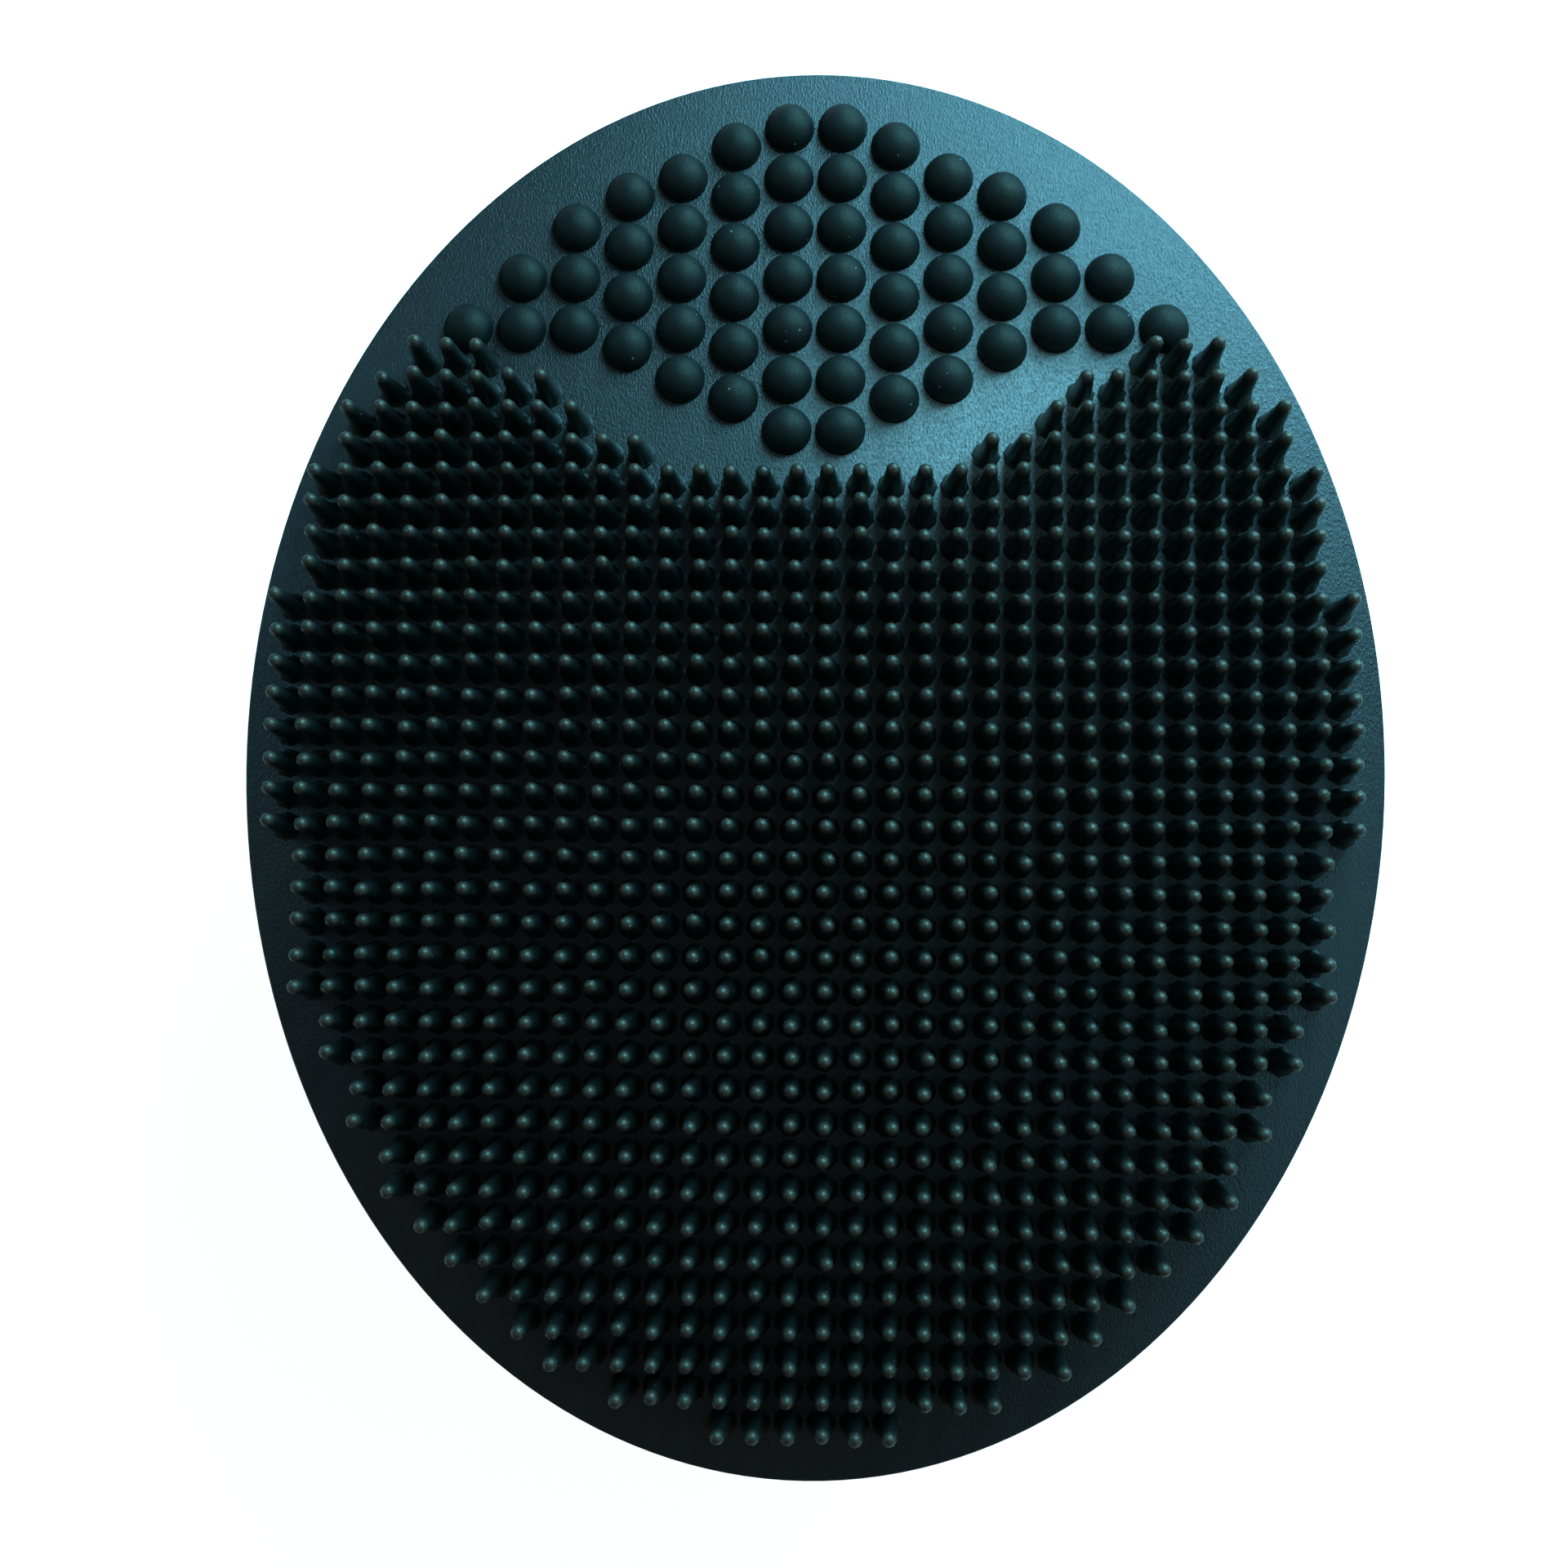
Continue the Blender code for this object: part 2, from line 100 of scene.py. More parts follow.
class CurryPad(bpy.types.PropertyGroup):
    """The rubber pad"""

    pin_height: length("Pin height", "How far the pins stand above the sheet", 0.0065)
    edge_round: length("Edge rounding", "Radius of the sheet's front edge", 0.0002)
    rim_wall: length("Rim wall", "Thickness of the rim round the back plate", 0.0025)
    sheet_thickness: length("Sheet thickness", "Rubber between the plate and the pins", 0.003)
    pin_pitch: length("Pin pitch", "Side of the square grid of pins", 0.003)
    pin_foot: length("Pin foot", "Radius of a pin where it meets the sheet", 0.00142)
    pin_finger: length("Pin finger", "Radius of a pin halfway up", 0.0009)
    pin_tip: length("Pin tip", "Radius of a pin under its round tip", 0.00069)
    pin_lean: length("Pin lean", "Usual sideways drift of a pin's tip", 0.00012)
    side_margin: length("Side margin", "From the oval's side to the last pins", 0.0033)
    end_margin: length("End margin", "From the oval's end to the last pins", 0.0013)
    field_shift: length("Field shift", "How far the field of pins lies towards the nubs", 0.0027)
    corner_cut: length("Corner cut", "How much the field's top corners are cut", 0.0167)
    nub_radius: length("Nub radius", "Radius of a nub", 0.00232)
    nub_height: length("Nub height", "Height of a nub", 0.0021)
    nub_column_pitch: length("Nub column pitch", "From one column of nubs to the next", 0.00516)
    nub_row_pitch: length("Nub row pitch", "From one nub to the next in a column", 0.00503)
    nub_stagger: length("Nub stagger", "How far the staggered columns are set on", 0.00315)
    nub_row_inset: length("Nub row inset", "From the oval's end to the main row of nubs", 0.0257)
    seed: IntProperty(name="Seed", description="Draws the small differences between pins", default=11)


class CurryBack(bpy.types.PropertyGroup):
    """The plate, the hinge pins and the cushion"""

    ear_radius: length("Ear radius", "Radius of an ear's round end", 0.0048)
    ear_thickness: length("Ear thickness", "Thickness of an ear", 0.003)
    soft_edge: length("Soft edge", "Rounding of the moulded edges", 0.0004)
    pin_radius: length("Hinge pin radius", "Radius of the steel pin", 0.0015)
    pin_clearance: length("Pin clearance", "Gap between a pin and its bores", 0.0003)
    channel: length("Channel", "Depth of the channels pressed in the cushion", 0.0007)


class CurryStrap(bpy.types.PropertyGroup):
    """The strap and its fastener"""

    thickness: length("Webbing thickness", "Thickness of the webbing", 0.0018)
    layer: length("Layer", "Room that one layer of webbing takes", 0.002)
    neck: length("Neck", "From the hinge axis to where the two layers meet", 0.006)
    fold: length("Fold", "Length of the end that is folded back and sewn", 0.016)
    inner_bend: length("Inner bend", "Radius of the inner half's bend", 0.018)
    outer_bend: length("Outer bend", "Radius of the outer half's bend", 0.022)
    tip_corner: length("Tip corner", "Radius of the corners at a strap's end", 0.007)
    stitch: length("Stitch", "Length of a stitch", 0.0022)
    stitch_gap: length("Stitch gap", "Gap between two stitches", 0.0008)
    thread: length("Thread", "Thickness of the thread", 0.0005)
    hook_pitch: length("Hook pitch", "From one hook of the fastener to the next", 0.0014)


class CurryFinish(bpy.types.PropertyGroup):
    """The colours"""

    sheet: colour("Sheet", "The sheet's grey bloom", (0.007, 0.0095, 0.0105))
    # The patch colour is a painted sheen: a pool of light painted on the sheet beside the nubs.
    patch: colour("Patch", "The paler patch beside the nubs", (0.33, 0.34, 0.33))
    rubber: colour("Rubber", "The pins and nubs", (0.006, 0.0085, 0.009))
    plate: colour("Plate", "The back plate", (0.022, 0.025, 0.028))
    foam: colour("Foam", "The palm cushion", (0.035, 0.042, 0.048))
    webbing: colour("Webbing", "The strap", (0.012, 0.014, 0.016))
    thread: colour("Thread", "The stitching", (0.09, 0.12, 0.13))
    steel: colour("Steel", "The hinge pins", (0.55, 0.56, 0.57))
    tab: colour("Tab", "The pull tab", (0.03, 0.045, 0.052))
    floor: colour("Floor", "The floor", (0.9, 0.9, 0.9))


class CurryStage(bpy.types.PropertyGroup):
    """The floor, the lights and the camera"""

    key: strength("Key light", "Power of the window lights, in watts", 1.6)
    fill: strength("Fill light", "Power of each low side light, in watts", 0.03)
    sky: strength("Sky", "Strength of the light from all round", 0.09)
    backdrop: strength("Backdrop", "Brightness of the backdrop", 1.0)
    floor_glow: strength("Floor glow", "How much the floor glows to the camera", 0.9)
    camera_height: length("Camera height", "Camera above the front of the sheet", 0.1683, 0.01, 5)
    lens: FloatProperty(name="Lens", description="Focal length, in millimetres", default=41.25, min=1)


GROUPS = {
    "curry_pad": CurryPad,
    "curry_back": CurryBack,
    "curry_strap": CurryStrap,
    "curry_finish": CurryFinish,
    "curry_stage": CurryStage,
}


# Modelling helpers


def deselect():
    bpy.ops.object.select_all(action="DESELECT")


def pick(*objects):
    deselect()
    for obj in objects:
        obj.select_set(True)
    bpy.context.view_layer.objects.active = objects[0]


def edit(obj, kind="FACE"):
    pick(obj)
    bpy.ops.object.mode_set(mode="EDIT")
    bpy.ops.mesh.select_mode(type=kind)


def select_where(obj, parts, test):
    """Selects the faces, edges or verts of an object in edit mode that pass a test."""
    bpy.ops.mesh.select_all(action="DESELECT")
    bm = bmesh.from_edit_mesh(obj.data)
    for element in getattr(bm, parts):
        element.select = bool(test(element))
    bm.select_flush_mode()
    bmesh.update_edit_mesh(obj.data)


def done(obj):
    """Back to object mode with faces out and the place in the mesh."""
    bpy.ops.mesh.select_all(action="SELECT")
    bpy.ops.mesh.normals_make_consistent(inside=False)
    bpy.ops.object.mode_set(mode="OBJECT")
    pick(obj)
    bpy.ops.object.transform_apply()
    return obj


def turned(name, sides, steps):
    """Extruded up from a round or oval face. Each step is (half width, half length, height)."""
    deselect()
    wide, long, height = steps[0]
    bpy.ops.mesh.primitive_circle_add(vertices=sides, radius=1, fill_type="NGON", location=(0, 0, 0))
    obj = bpy.context.object
    obj.name = name
    edit(obj)
    bpy.ops.mesh.select_all(action="SELECT")
    bpy.ops.transform.resize(value=(wide, long, 1), center_override=(0, 0, 0))
    bpy.ops.transform.translate(value=(0, 0, height))
    for new_wide, new_long, new_height in steps[1:]:
        rise = (0, 0, new_height - height)
        bpy.ops.mesh.extrude_region_move(TRANSFORM_OT_translate={"value": rise})
        growth = (new_wide / wide, new_long / long, 1)
        bpy.ops.transform.resize(value=growth, center_override=(0, 0, new_height))
        wide, long, height = new_wide, new_long, new_height
    return done(obj)


def round_steps(profile):
    return [(radius, radius, height) for radius, height in profile]


def block(name, low, high):
    """A box between two corners, open to more shaping in edit mode."""
    deselect()
    middle, size = (Vector(low) + Vector(high)) / 2, Vector(high) - Vector(low)
    bpy.ops.mesh.primitive_cube_add(size=1, location=middle, scale=size)
    obj = bpy.context.object
    obj.name = name
    bpy.ops.object.transform_apply()
    return obj


def is_upright(edge):
    first, second = edge.verts
    return abs(first.co.z - second.co.z) > 1e-6


def bevel_edges(obj, test, offset, segments):
    edit(obj, "EDGE")
    select_where(obj, "edges", test)
    bpy.ops.mesh.bevel(offset=offset, segments=segments, profile=0.5, affect="EDGES")
    return done(obj)


def apply_modifier(obj, kind, **settings):
    modifier = obj.modifiers.new(kind.lower(), kind)
    for name, value in settings.items():
        setattr(modifier, name, value)
    pick(obj)
    bpy.ops.object.modifier_apply(modifier=modifier.name)


def round_edges(obj, width, segments, degrees):
    """Rounds the edges that are sharper than an angle."""
    limit = {"limit_method": "ANGLE", "angle_limit": math.radians(degrees)}
    apply_modifier(obj, "BEVEL", width=width, segments=segments, **limit)


def link(obj):
    bpy.context.scene.collection.objects.link(obj)


def remove(obj):
    bpy.data.objects.remove(obj)


def cut(obj, tool, operation="DIFFERENCE"):
    apply_modifier(obj, "BOOLEAN", operation=operation, solver="EXACT", object=tool)
    remove(tool)


def join(name, objects):
    pick(*objects)
    bpy.ops.object.join()
    joined = bpy.context.object
    joined.name = name
    joined.data.name = name
    return joined


def smooth(obj, degrees=None):
    pick(obj)
    if degrees is None:
        bpy.ops.object.shade_smooth()
    else:
        bpy.ops.object.shade_smooth_by_angle(angle=math.radians(degrees))
    return obj


def piece(obj, body, slot, finish, *nodes):
    """Gives a piece its material and body, and hides the CAD nodes that it stands for. The slot is not
    used.
    """
    obj.data.materials.clear()
    obj.data.materials.append(finish)
    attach(obj, body)
    if nodes:
        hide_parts(*nodes)


# Material helpers


# A mix node's sockets: its amount, its two colours and their mix.
MIX_AMOUNT, MIX_FIRST, MIX_SECOND, MIX_RESULT = 0, 6, 7, 2


class Tree:
    """A node tree, with a short way to add nodes and join them."""

    def __init__(self, tree):
        self.tree = tree
        self.shader = tree.nodes.get("Principled BSDF")

    def add(self, kind, settings=None, **inputs):
        node = self.tree.nodes.new("ShaderNode" + kind)
        for name, value in (settings or {}).items():
            setattr(node, name, value)
        for name, value in inputs.items():
            self.feed(node.inputs[name], value)
        return node

    def feed(self, socket, value):
        if isinstance(value, bpy.types.NodeSocket):
            self.tree.links.new(value, socket)
        elif isinstance(value, bpy.types.Node):
            self.tree.links.new(value.outputs[0], socket)
        else:
            socket.default_value = value

    def maths(self, operation, first, second):
        node = self.add("Math", {"operation": operation})
        self.feed(node.inputs[0], first)
        self.feed(node.inputs[1], second)
        return node.outputs[0]

    def ramp(self, value, low, high, to_low=0.0, to_high=1.0):
        ends = {"From Min": low, "From Max": high, "To Min": to_low, "To Max": to_high}
        return self.add("MapRange", {"clamp": True}, Value=value, **ends).outputs[0]

    def mix(self, amount, first, second):
        node = self.add("Mix", {"data_type": "RGBA"})
        self.feed(node.inputs[MIX_AMOUNT], amount)
        for place, value in ((MIX_FIRST, first), (MIX_SECOND, second)):
            is_socket = isinstance(value, bpy.types.NodeSocket)
            self.feed(node.inputs[place], value if is_socket else (*value, 1))
        return node.outputs[MIX_RESULT]

    def shades(self, amount, base, first, second):
        """A colour between two brightnesses of a base colour."""
        return self.mix(amount, Vector(base) * first, Vector(base) * second)

    def noise(self, where, scale, detail=2.0, roughness=0.5):
        numbers = {"Scale": scale, "Detail": detail, "Roughness": roughness}
        return self.add("TexNoise", Vector=where, **numbers)

    def use(self, made, **inputs):
        return self.add("Group", {"node_tree": made}, **inputs).outputs

    def shade(self, **inputs):
        """Feeds the shader's inputs, whose names are written with _ for a space."""
        for name, value in inputs.items():
            self.feed(self.shader.inputs[name.replace("_", " ")], value)

    def bump(self, height, strength, distance):
        numbers = {"Strength": strength, "Distance": distance}
        self.shade(Normal=self.add("Bump", Height=height, **numbers))


def group(name, inputs, outputs, build):
    """A shader node group, built once: a vector and numbers in, numbers out."""
    if name in bpy.data.node_groups:
        return bpy.data.node_groups[name]
    made = bpy.data.node_groups.new(name, "ShaderNodeTree")
    made.interface.new_socket("Vector", in_out="INPUT", socket_type="NodeSocketVector")
    for label, default in inputs.items():
        socket = made.interface.new_socket(label, in_out="INPUT", socket_type="NodeSocketFloat")
        socket.default_value = default
    for label in outputs:
        made.interface.new_socket(label, in_out="OUTPUT", socket_type="NodeSocketFloat")
    tree = Tree(made)
    entry, leave = made.nodes.new("NodeGroupInput"), made.nodes.new("NodeGroupOutput")
    for label, value in build(tree, entry.outputs).items():
        made.links.new(value, leave.inputs[label])
    return made


def moulded_grain():
    """The fine sparked grain of a rubber mould: a height, and a tone that follows it."""

    def build(tree, given):
        long = tree.maths("MULTIPLY", given["Scale"], 0.5)
        stretch = tree.add("CombineXYZ", X=given["Scale"], Y=long, Z=given["Scale"])
        place = tree.add("Mapping", Vector=given["Vector"], Scale=stretch)
        fine = tree.noise(place, 1.0, 3.0, 0.65)
        coarse = tree.noise(place, 0.31)
        height = tree.maths("ADD", fine, tree.maths("MULTIPLY", coarse, 0.2))
        return {"Height": height, "Tone": tree.ramp(height, 0.42, 0.78)}

    return group("Moulded grain", {"Scale": 4000.0}, ("Height", "Tone"), build)


def dust_flecks():
    """Sparse pale specks, such as lint and mould flash, as a mask."""

    def build(tree, given):
        cells = tree.add("TexVoronoi", Vector=given["Vector"], Scale=given["Scale"])
        near = tree.maths("LESS_THAN", cells.outputs["Distance"], given["Size"])
        chosen = tree.add("SeparateColor", Color=cells.outputs["Color"])
        few = tree.maths("GREATER_THAN", chosen.outputs[0], given["Rarity"])
        return {"Mask": tree.maths("MULTIPLY", near, few)}

    numbers = {"Scale": 900.0, "Size": 0.12, "Rarity": 0.97}
    return group("Dust flecks", numbers, ("Mask",), build)


def webbing_weave():
    """A woven strap's floats, in millimetres along and across it: a height and a mask of the gaps."""

    def build(tree, given):
        staggered = {"offset": 0.5, "offset_frequency": 2}
        sizes = {"Scale": 1.0, "Brick Width": 1.5, "Row Height": 0.62}
        gaps = {"Mortar Size": 0.1, "Mortar Smooth": 0.9}
        yarns = tree.add("TexBrick", staggered, Vector=given["Vector"], **sizes, **gaps)
        fuzz = tree.noise(given["Vector"], 9.0)
        gap = yarns.outputs["Fac"]
        floats = tree.maths("SUBTRACT", 1.0, gap)
        height = tree.maths("ADD", floats, tree.maths("MULTIPLY", fuzz, 0.35))
        return {"Height": height, "Gap": gap}

    return group("Webbing weave", {}, ("Height", "Gap"), build)


def start_material(name, roughness, metallic=0.0, specular=0.5):
    """A new material: itself, its tree and its Object coordinates."""
    made = bpy.data.materials.new(name)
    made.use_nodes = True
    tree = Tree(made.node_tree)
    tree.shade(Roughness=roughness, Metallic=metallic, Specular_IOR_Level=specular)
    where = tree.add("TexCoord").outputs["Object"]
    return made, tree, where


# How often the mould's grain repeats, in cells per metre.
RUBBER_GRAIN = 5200.0
PLASTIC_GRAIN = 2600.0
# The paler patch on the sheet, beside the nubs, is a painted sheen, a pool of light painted on the
# rubber: its middle and its half sizes.
SHEEN_PATCH_MIDDLE = (0.0195, 0.031, 0.044)
SHEEN_PATCH_REACH = (0.026, 0.02, 0.02)


def sheet_rubber(finish):
    """The flat of the pad: dark with a grey bloom, a paler patch of painted sheen and the mould's
    sparked grain.
    """
    made, tree, where = start_material("Sheet rubber", 0.4, specular=0.8)
    grain = tree.use(moulded_grain(), Vector=where, Scale=RUBBER_GRAIN)
    flecks = tree.use(dust_flecks(), Vector=where, Scale=500.0, Size=0.08, Rarity=0.992)
    cloud = tree.noise(where, 45.0, 4.0)
    bloom = tree.shades(tree.ramp(cloud, 0.3, 0.7), finish.sheet, 0.8, 1.2)
    # Painted sheen: the sheet is painted paler, towards the patch colour, in an oval beside the nubs,
    # as a pool of light.
    reach = {"Location": SHEEN_PATCH_MIDDLE, "Scale": SHEEN_PATCH_REACH}
    near = tree.add("Mapping", {"vector_type": "TEXTURE"}, Vector=where, **reach)
    patch = tree.add("TexGradient", {"gradient_type": "SPHERICAL"}, Vector=near).outputs[1]
    bloom = tree.mix(tree.ramp(patch, 0.0, 0.7), bloom, finish.patch)
    grainy = tree.mix(tree.ramp(grain["Tone"], 0.0, 1.0, 0.3, 1.1), (0, 0, 0), bloom)
    dusty = tree.mix(flecks["Mask"], grainy, (0.16, 0.24, 0.26))
    tree.shade(Base_Color=dusty, Roughness=tree.ramp(grain["Tone"], 0.0, 1.0, 0.52, 0.3))
    rise = tree.maths("MULTIPLY", grain["Height"], tree.ramp(patch, 0.0, 0.5, 0.6, 1.9))
    tree.bump(rise, 1.0, 0.00014)
    return made


def dark_rubber(name, tone, roughness, specular, fleck_size, rarity, ends=None):
    """Near black rubber with specks of flash.

    ends is the heights of the pins' feet, which are glossier, and of their tips, which are painted
    paler as a highlight.
    """
    made, tree, where = start_material(name, roughness, specular=specular)
    tree.shade(Specular_Tint=(1.0, 0.9, 0.7, 1))
    grain = tree.use(moulded_grain(), Vector=where, Scale=RUBBER_GRAIN)
    flecks = tree.use(dust_flecks(), Vector=where, Scale=1500.0, Size=fleck_size, Rarity=rarity)
    toned = tree.shades(grain["Tone"], tone, 0.8, 1.3)
    if ends:
        low, high = ends
        height = tree.add("SeparateXYZ", Vector=where).outputs[2]
        foot = tree.ramp(height, low + 0.15 * MM, low + 0.6 * MM, 1.0, 0.12)
        tree.shade(Coat_Weight=foot, Coat_Roughness=0.27)
        # Painted highlight: the top of each pin is painted paler, where the light catches the tips.
        tip = tree.ramp(height, high - 1.1 * MM, high - 0.1 * MM)
        painted_tip_highlight = tree.mix(grain["Tone"], (0.02, 0.0135, 0.01), (0.085, 0.057, 0.043))
        toned = tree.mix(tip, toned, painted_tip_highlight)
    flecked = tree.mix(flecks["Mask"], toned, (0.12, 0.17, 0.17))
    rough = tree.ramp(grain["Tone"], 0.0, 1.0, roughness + 0.06, roughness - 0.06)
    tree.shade(Base_Color=flecked, Roughness=rough)
    tree.bump(grain["Height"], 0.25, 0.00008)
    return made


def moulded_plastic(finish):
    """The back plate's matt plastic, with the mould's grain."""
    made, tree, where = start_material("Plate plastic", 0.45)
    grain = tree.use(moulded_grain(), Vector=where, Scale=PLASTIC_GRAIN)
    toned = tree.shades(grain["Tone"], finish.plate, 0.85, 1.2)
    tree.shade(Base_Color=toned, Roughness=tree.ramp(grain["Tone"], 0.0, 1.0, 0.52, 0.38))
    tree.bump(grain["Height"], 0.3, 0.00008)
    return made


def hinge_steel(finish):
    """Plain steel wire, with the lines of drawing along Y."""
    made, tree, where = start_material("Hinge steel", 0.3, metallic=1.0)
    lines = tree.add("Mapping", Vector=where, Scale=(9000, 300, 9000))
    drawn = tree.noise(lines, 1.0)
    toned = tree.shades(drawn, finish.steel, 0.85, 1.0)
    tree.shade(Base_Color=toned, Roughness=tree.ramp(drawn, 0.3, 0.7, 0.24, 0.4))
    return made


def cushion_foam(finish):
    """Closed-cell foam: fine cells, in a tone that drifts."""
    made, tree, where = start_material("Cushion foam", 0.85, specular=0.25)
    cells = tree.add("TexVoronoi", Vector=where, Scale=2600.0)
    spread = tree.noise(where, 120.0, 3.0)
    toned = tree.shades(spread, finish.foam, 0.8, 1.25)
    skin = tree.mix(tree.ramp(cells, 0.0, 0.6), Vector(finish.foam) * 0.6, toned)
    tree.shade(Base_Color=skin)
    tree.bump(cells, 0.35, 0.0001)
    return made


def strap_webbing(finish, name, long, wide):
    """Woven webbing. Its pattern follows the strap by its UV map, scaled to the strap's own size."""
    made, tree, _ = start_material(name, 0.75, specular=0.35)
    across = tree.add("TexCoord").outputs["UV"]
    place = tree.add("Mapping", Vector=across, Scale=(long / MM, wide / MM, 1))
    weave = tree.use(webbing_weave(), Vector=place)
    toned = tree.shades(weave["Gap"], finish.webbing, 1.5, 0.35)
    tree.shade(Base_Color=toned, Roughness=tree.ramp(weave["Height"], 0.0, 1.3, 0.9, 0.62))
    tree.bump(weave["Height"], 0.7, 0.0002)
    tree.shade(Sheen_Weight=0.25, Sheen_Roughness=0.5)
    return made


def sewing_thread(finish):
    """Twisted thread."""
    made, tree, where = start_material("Sewing thread", 0.6)
    slanted = {"bands_direction": "DIAGONAL"}
    twist = tree.add("TexWave", slanted, Vector=where, Scale=1500.0)
    tree.shade(Base_Color=tree.shades(twist.outputs[1], finish.thread, 0.6, 1.2))
    tree.bump(twist.outputs[1], 0.4, 0.0001)
    return made


def fastener_pile(finish):
    """The nap of the soft half of the fastener."""
    made, tree, where = start_material("Fastener loops", 0.95, specular=0.2)
    nap = tree.noise(where, 1800.0, 5.0, 0.75)
    tree.shade(Base_Color=tree.shades(nap, finish.webbing, 0.5, 2.6), Sheen_Weight=0.5)
    tree.bump(nap, 1.0, 0.0003)
    return made


def fastener_hooks(finish):
    """The plastic of the hooked half of the fastener."""
    made, tree, where = start_material("Fastener hooks", 0.4)
    tone = tree.noise(where, 900.0)
    tree.shade(Base_Color=tree.shades(tone, finish.webbing, 0.9, 1.6))
    return made


# Rubber pad


# Each column outwards from the centre line: its first row, its nubs, and whether it is staggered.
NUB_COLUMNS = ((-2, 7, 0), (-2, 6, 1), (-1, 5, 0), (-1, 4, 1), (0, 3, 0), (0, 2, 0), (0, 1, 0))
OVAL_SIDES, NUB_SIDES, PIN_SIDES = 192, 24, 8
NUB_FILLET = 0.1 * MM
# The gap in the pins around the nubs, down from the main row of nubs, and its slope.
FIELD_TOP = 2.0 * MM
NOTCH_FLOOR = 15.4 * MM
NOTCH_POINT = 21.5 * MM
NOTCH_SLOPE = 0.6


def sheet_front(pad):
    """The height of the sheet's front, which the pins and nubs stand on."""
    return PAD_HIGH.z - pad.pin_height


def nub_centres(pad):
    """The columns of nubs, on both sides of the centre line."""
    centres = []
    for column, (first, count, staggered) in enumerate(NUB_COLUMNS):
        x = (column + 0.5) * pad.nub_column_pitch
        for row in range(first, first + count):
            y = HALF_LENGTH - pad.nub_row_inset + row * pad.nub_row_pitch
            y += staggered * pad.nub_stagger
            centres += [(x, y), (-x, y)]
    return centres


def pin_centres(pad):
    """The square grid of pins inside the oval, open around the nubs."""
    wide, long = HALF_WIDTH - pad.side_margin, HALF_LENGTH - pad.end_margin
    main_row = HALF_LENGTH - pad.nub_row_inset
    corner = HALF_WIDTH + main_row - FIELD_TOP - pad.corner_cut
    columns, rows = math.ceil(wide / pad.pin_pitch), math.ceil(HALF_LENGTH / pad.pin_pitch)
    centres = []
    for row in range(-rows, rows):
        y = (row + 0.5) * pad.pin_pitch
        for column in range(-columns, columns):
            x = (column + 0.5) * pad.pin_pitch
            notch = main_row + max(-NOTCH_FLOOR, NOTCH_SLOPE * abs(x) - NOTCH_POINT)
            inside = (x / wide) ** 2 + ((y - pad.field_shift) / long) ** 2 <= 1
            if inside and y <= min(notch, main_row - FIELD_TOP) and abs(x) + y <= corner:
                centres.append((x, y))
    return centres


def put(mesh, place):
    mesh.transform(Matrix.Translation((*place, 0)))


def copies(source, places, shape):
    """Copies of a piece, each with its own mesh. shape moves a copy's points for its place."""
    made = []
    for place in places:
        copy = source.copy()
        copy.data = source.data.copy()
        link(copy)
        shape(copy.data, place)
        made.append(copy)
    remove(source)
    return made


class CURRY_OT_sheet(bpy.types.Operator):
    """Model the oval rubber sheet with its rim"""

    bl_idname = "curry.sheet"
    bl_label = "Rubber sheet"

    def execute(self, context):
        pad = context.scene.curry_pad
        front, back = sheet_front(pad), PLATE_BACK
        floor = front - pad.sheet_thickness
        wall, edge = pad.rim_wall, pad.edge_round

        def step(inset, height):
            return HALF_WIDTH - inset, HALF_LENGTH - inset, height

        steps = [step(wall, floor), step(wall, back + 0.3 * edge), step(wall - 0.3 * edge, back)]
        steps += [step(0.5 * edge, back), step(0.15 * edge, back + 0.15 * edge)]
        steps += [step(0, back + 0.5 * edge), step(0, front - edge)]
        for turn in (30, 60, 90):
            angle = math.radians(turn)
            steps.append(step(edge * (1 - math.cos(angle)), front - edge * (1 - math.sin(angle))))
        sheet = turned("pad_sheet", OVAL_SIDES, steps)
        smooth(sheet, 50)
        piece(sheet, "pad", "rubber", sheet_rubber(context.scene.curry_finish), "rubber_pad")
        return {"FINISHED"}


class CURRY_OT_nubs(bpy.types.Operator):
    """Model the round nubs at the end of the pad"""

    bl_idname = "curry.nubs"
    bl_label = "Nubs"

    def execute(self, context):
        pad = context.scene.curry_pad
        front, fillet = sheet_front(pad), NUB_FILLET
        radius, height = pad.nub_radius, pad.nub_height
        profile = [(radius + fillet, front - fillet), (radius + fillet, front)]
        profile.append((radius, front + fillet))
        for turn in range(12, 90, 12):
            angle = math.radians(turn)
            rise = fillet + (height - fillet) * math.sin(angle)
            profile.append((radius * math.cos(angle), front + rise))
        profile.append((0.04 * radius, front + height))
        nub = smooth(turned("nub", NUB_SIDES, round_steps(profile)))
        nubs = join("pad_nubs", copies(nub, nub_centres(pad), put))
        tone = context.scene.curry_finish.rubber
        dark = dark_rubber("Nub rubber", tone, 0.6, 0.28, 0.17, 0.972)
        piece(nubs, "pad", "rubber", dark)
        return {"FINISHED"}


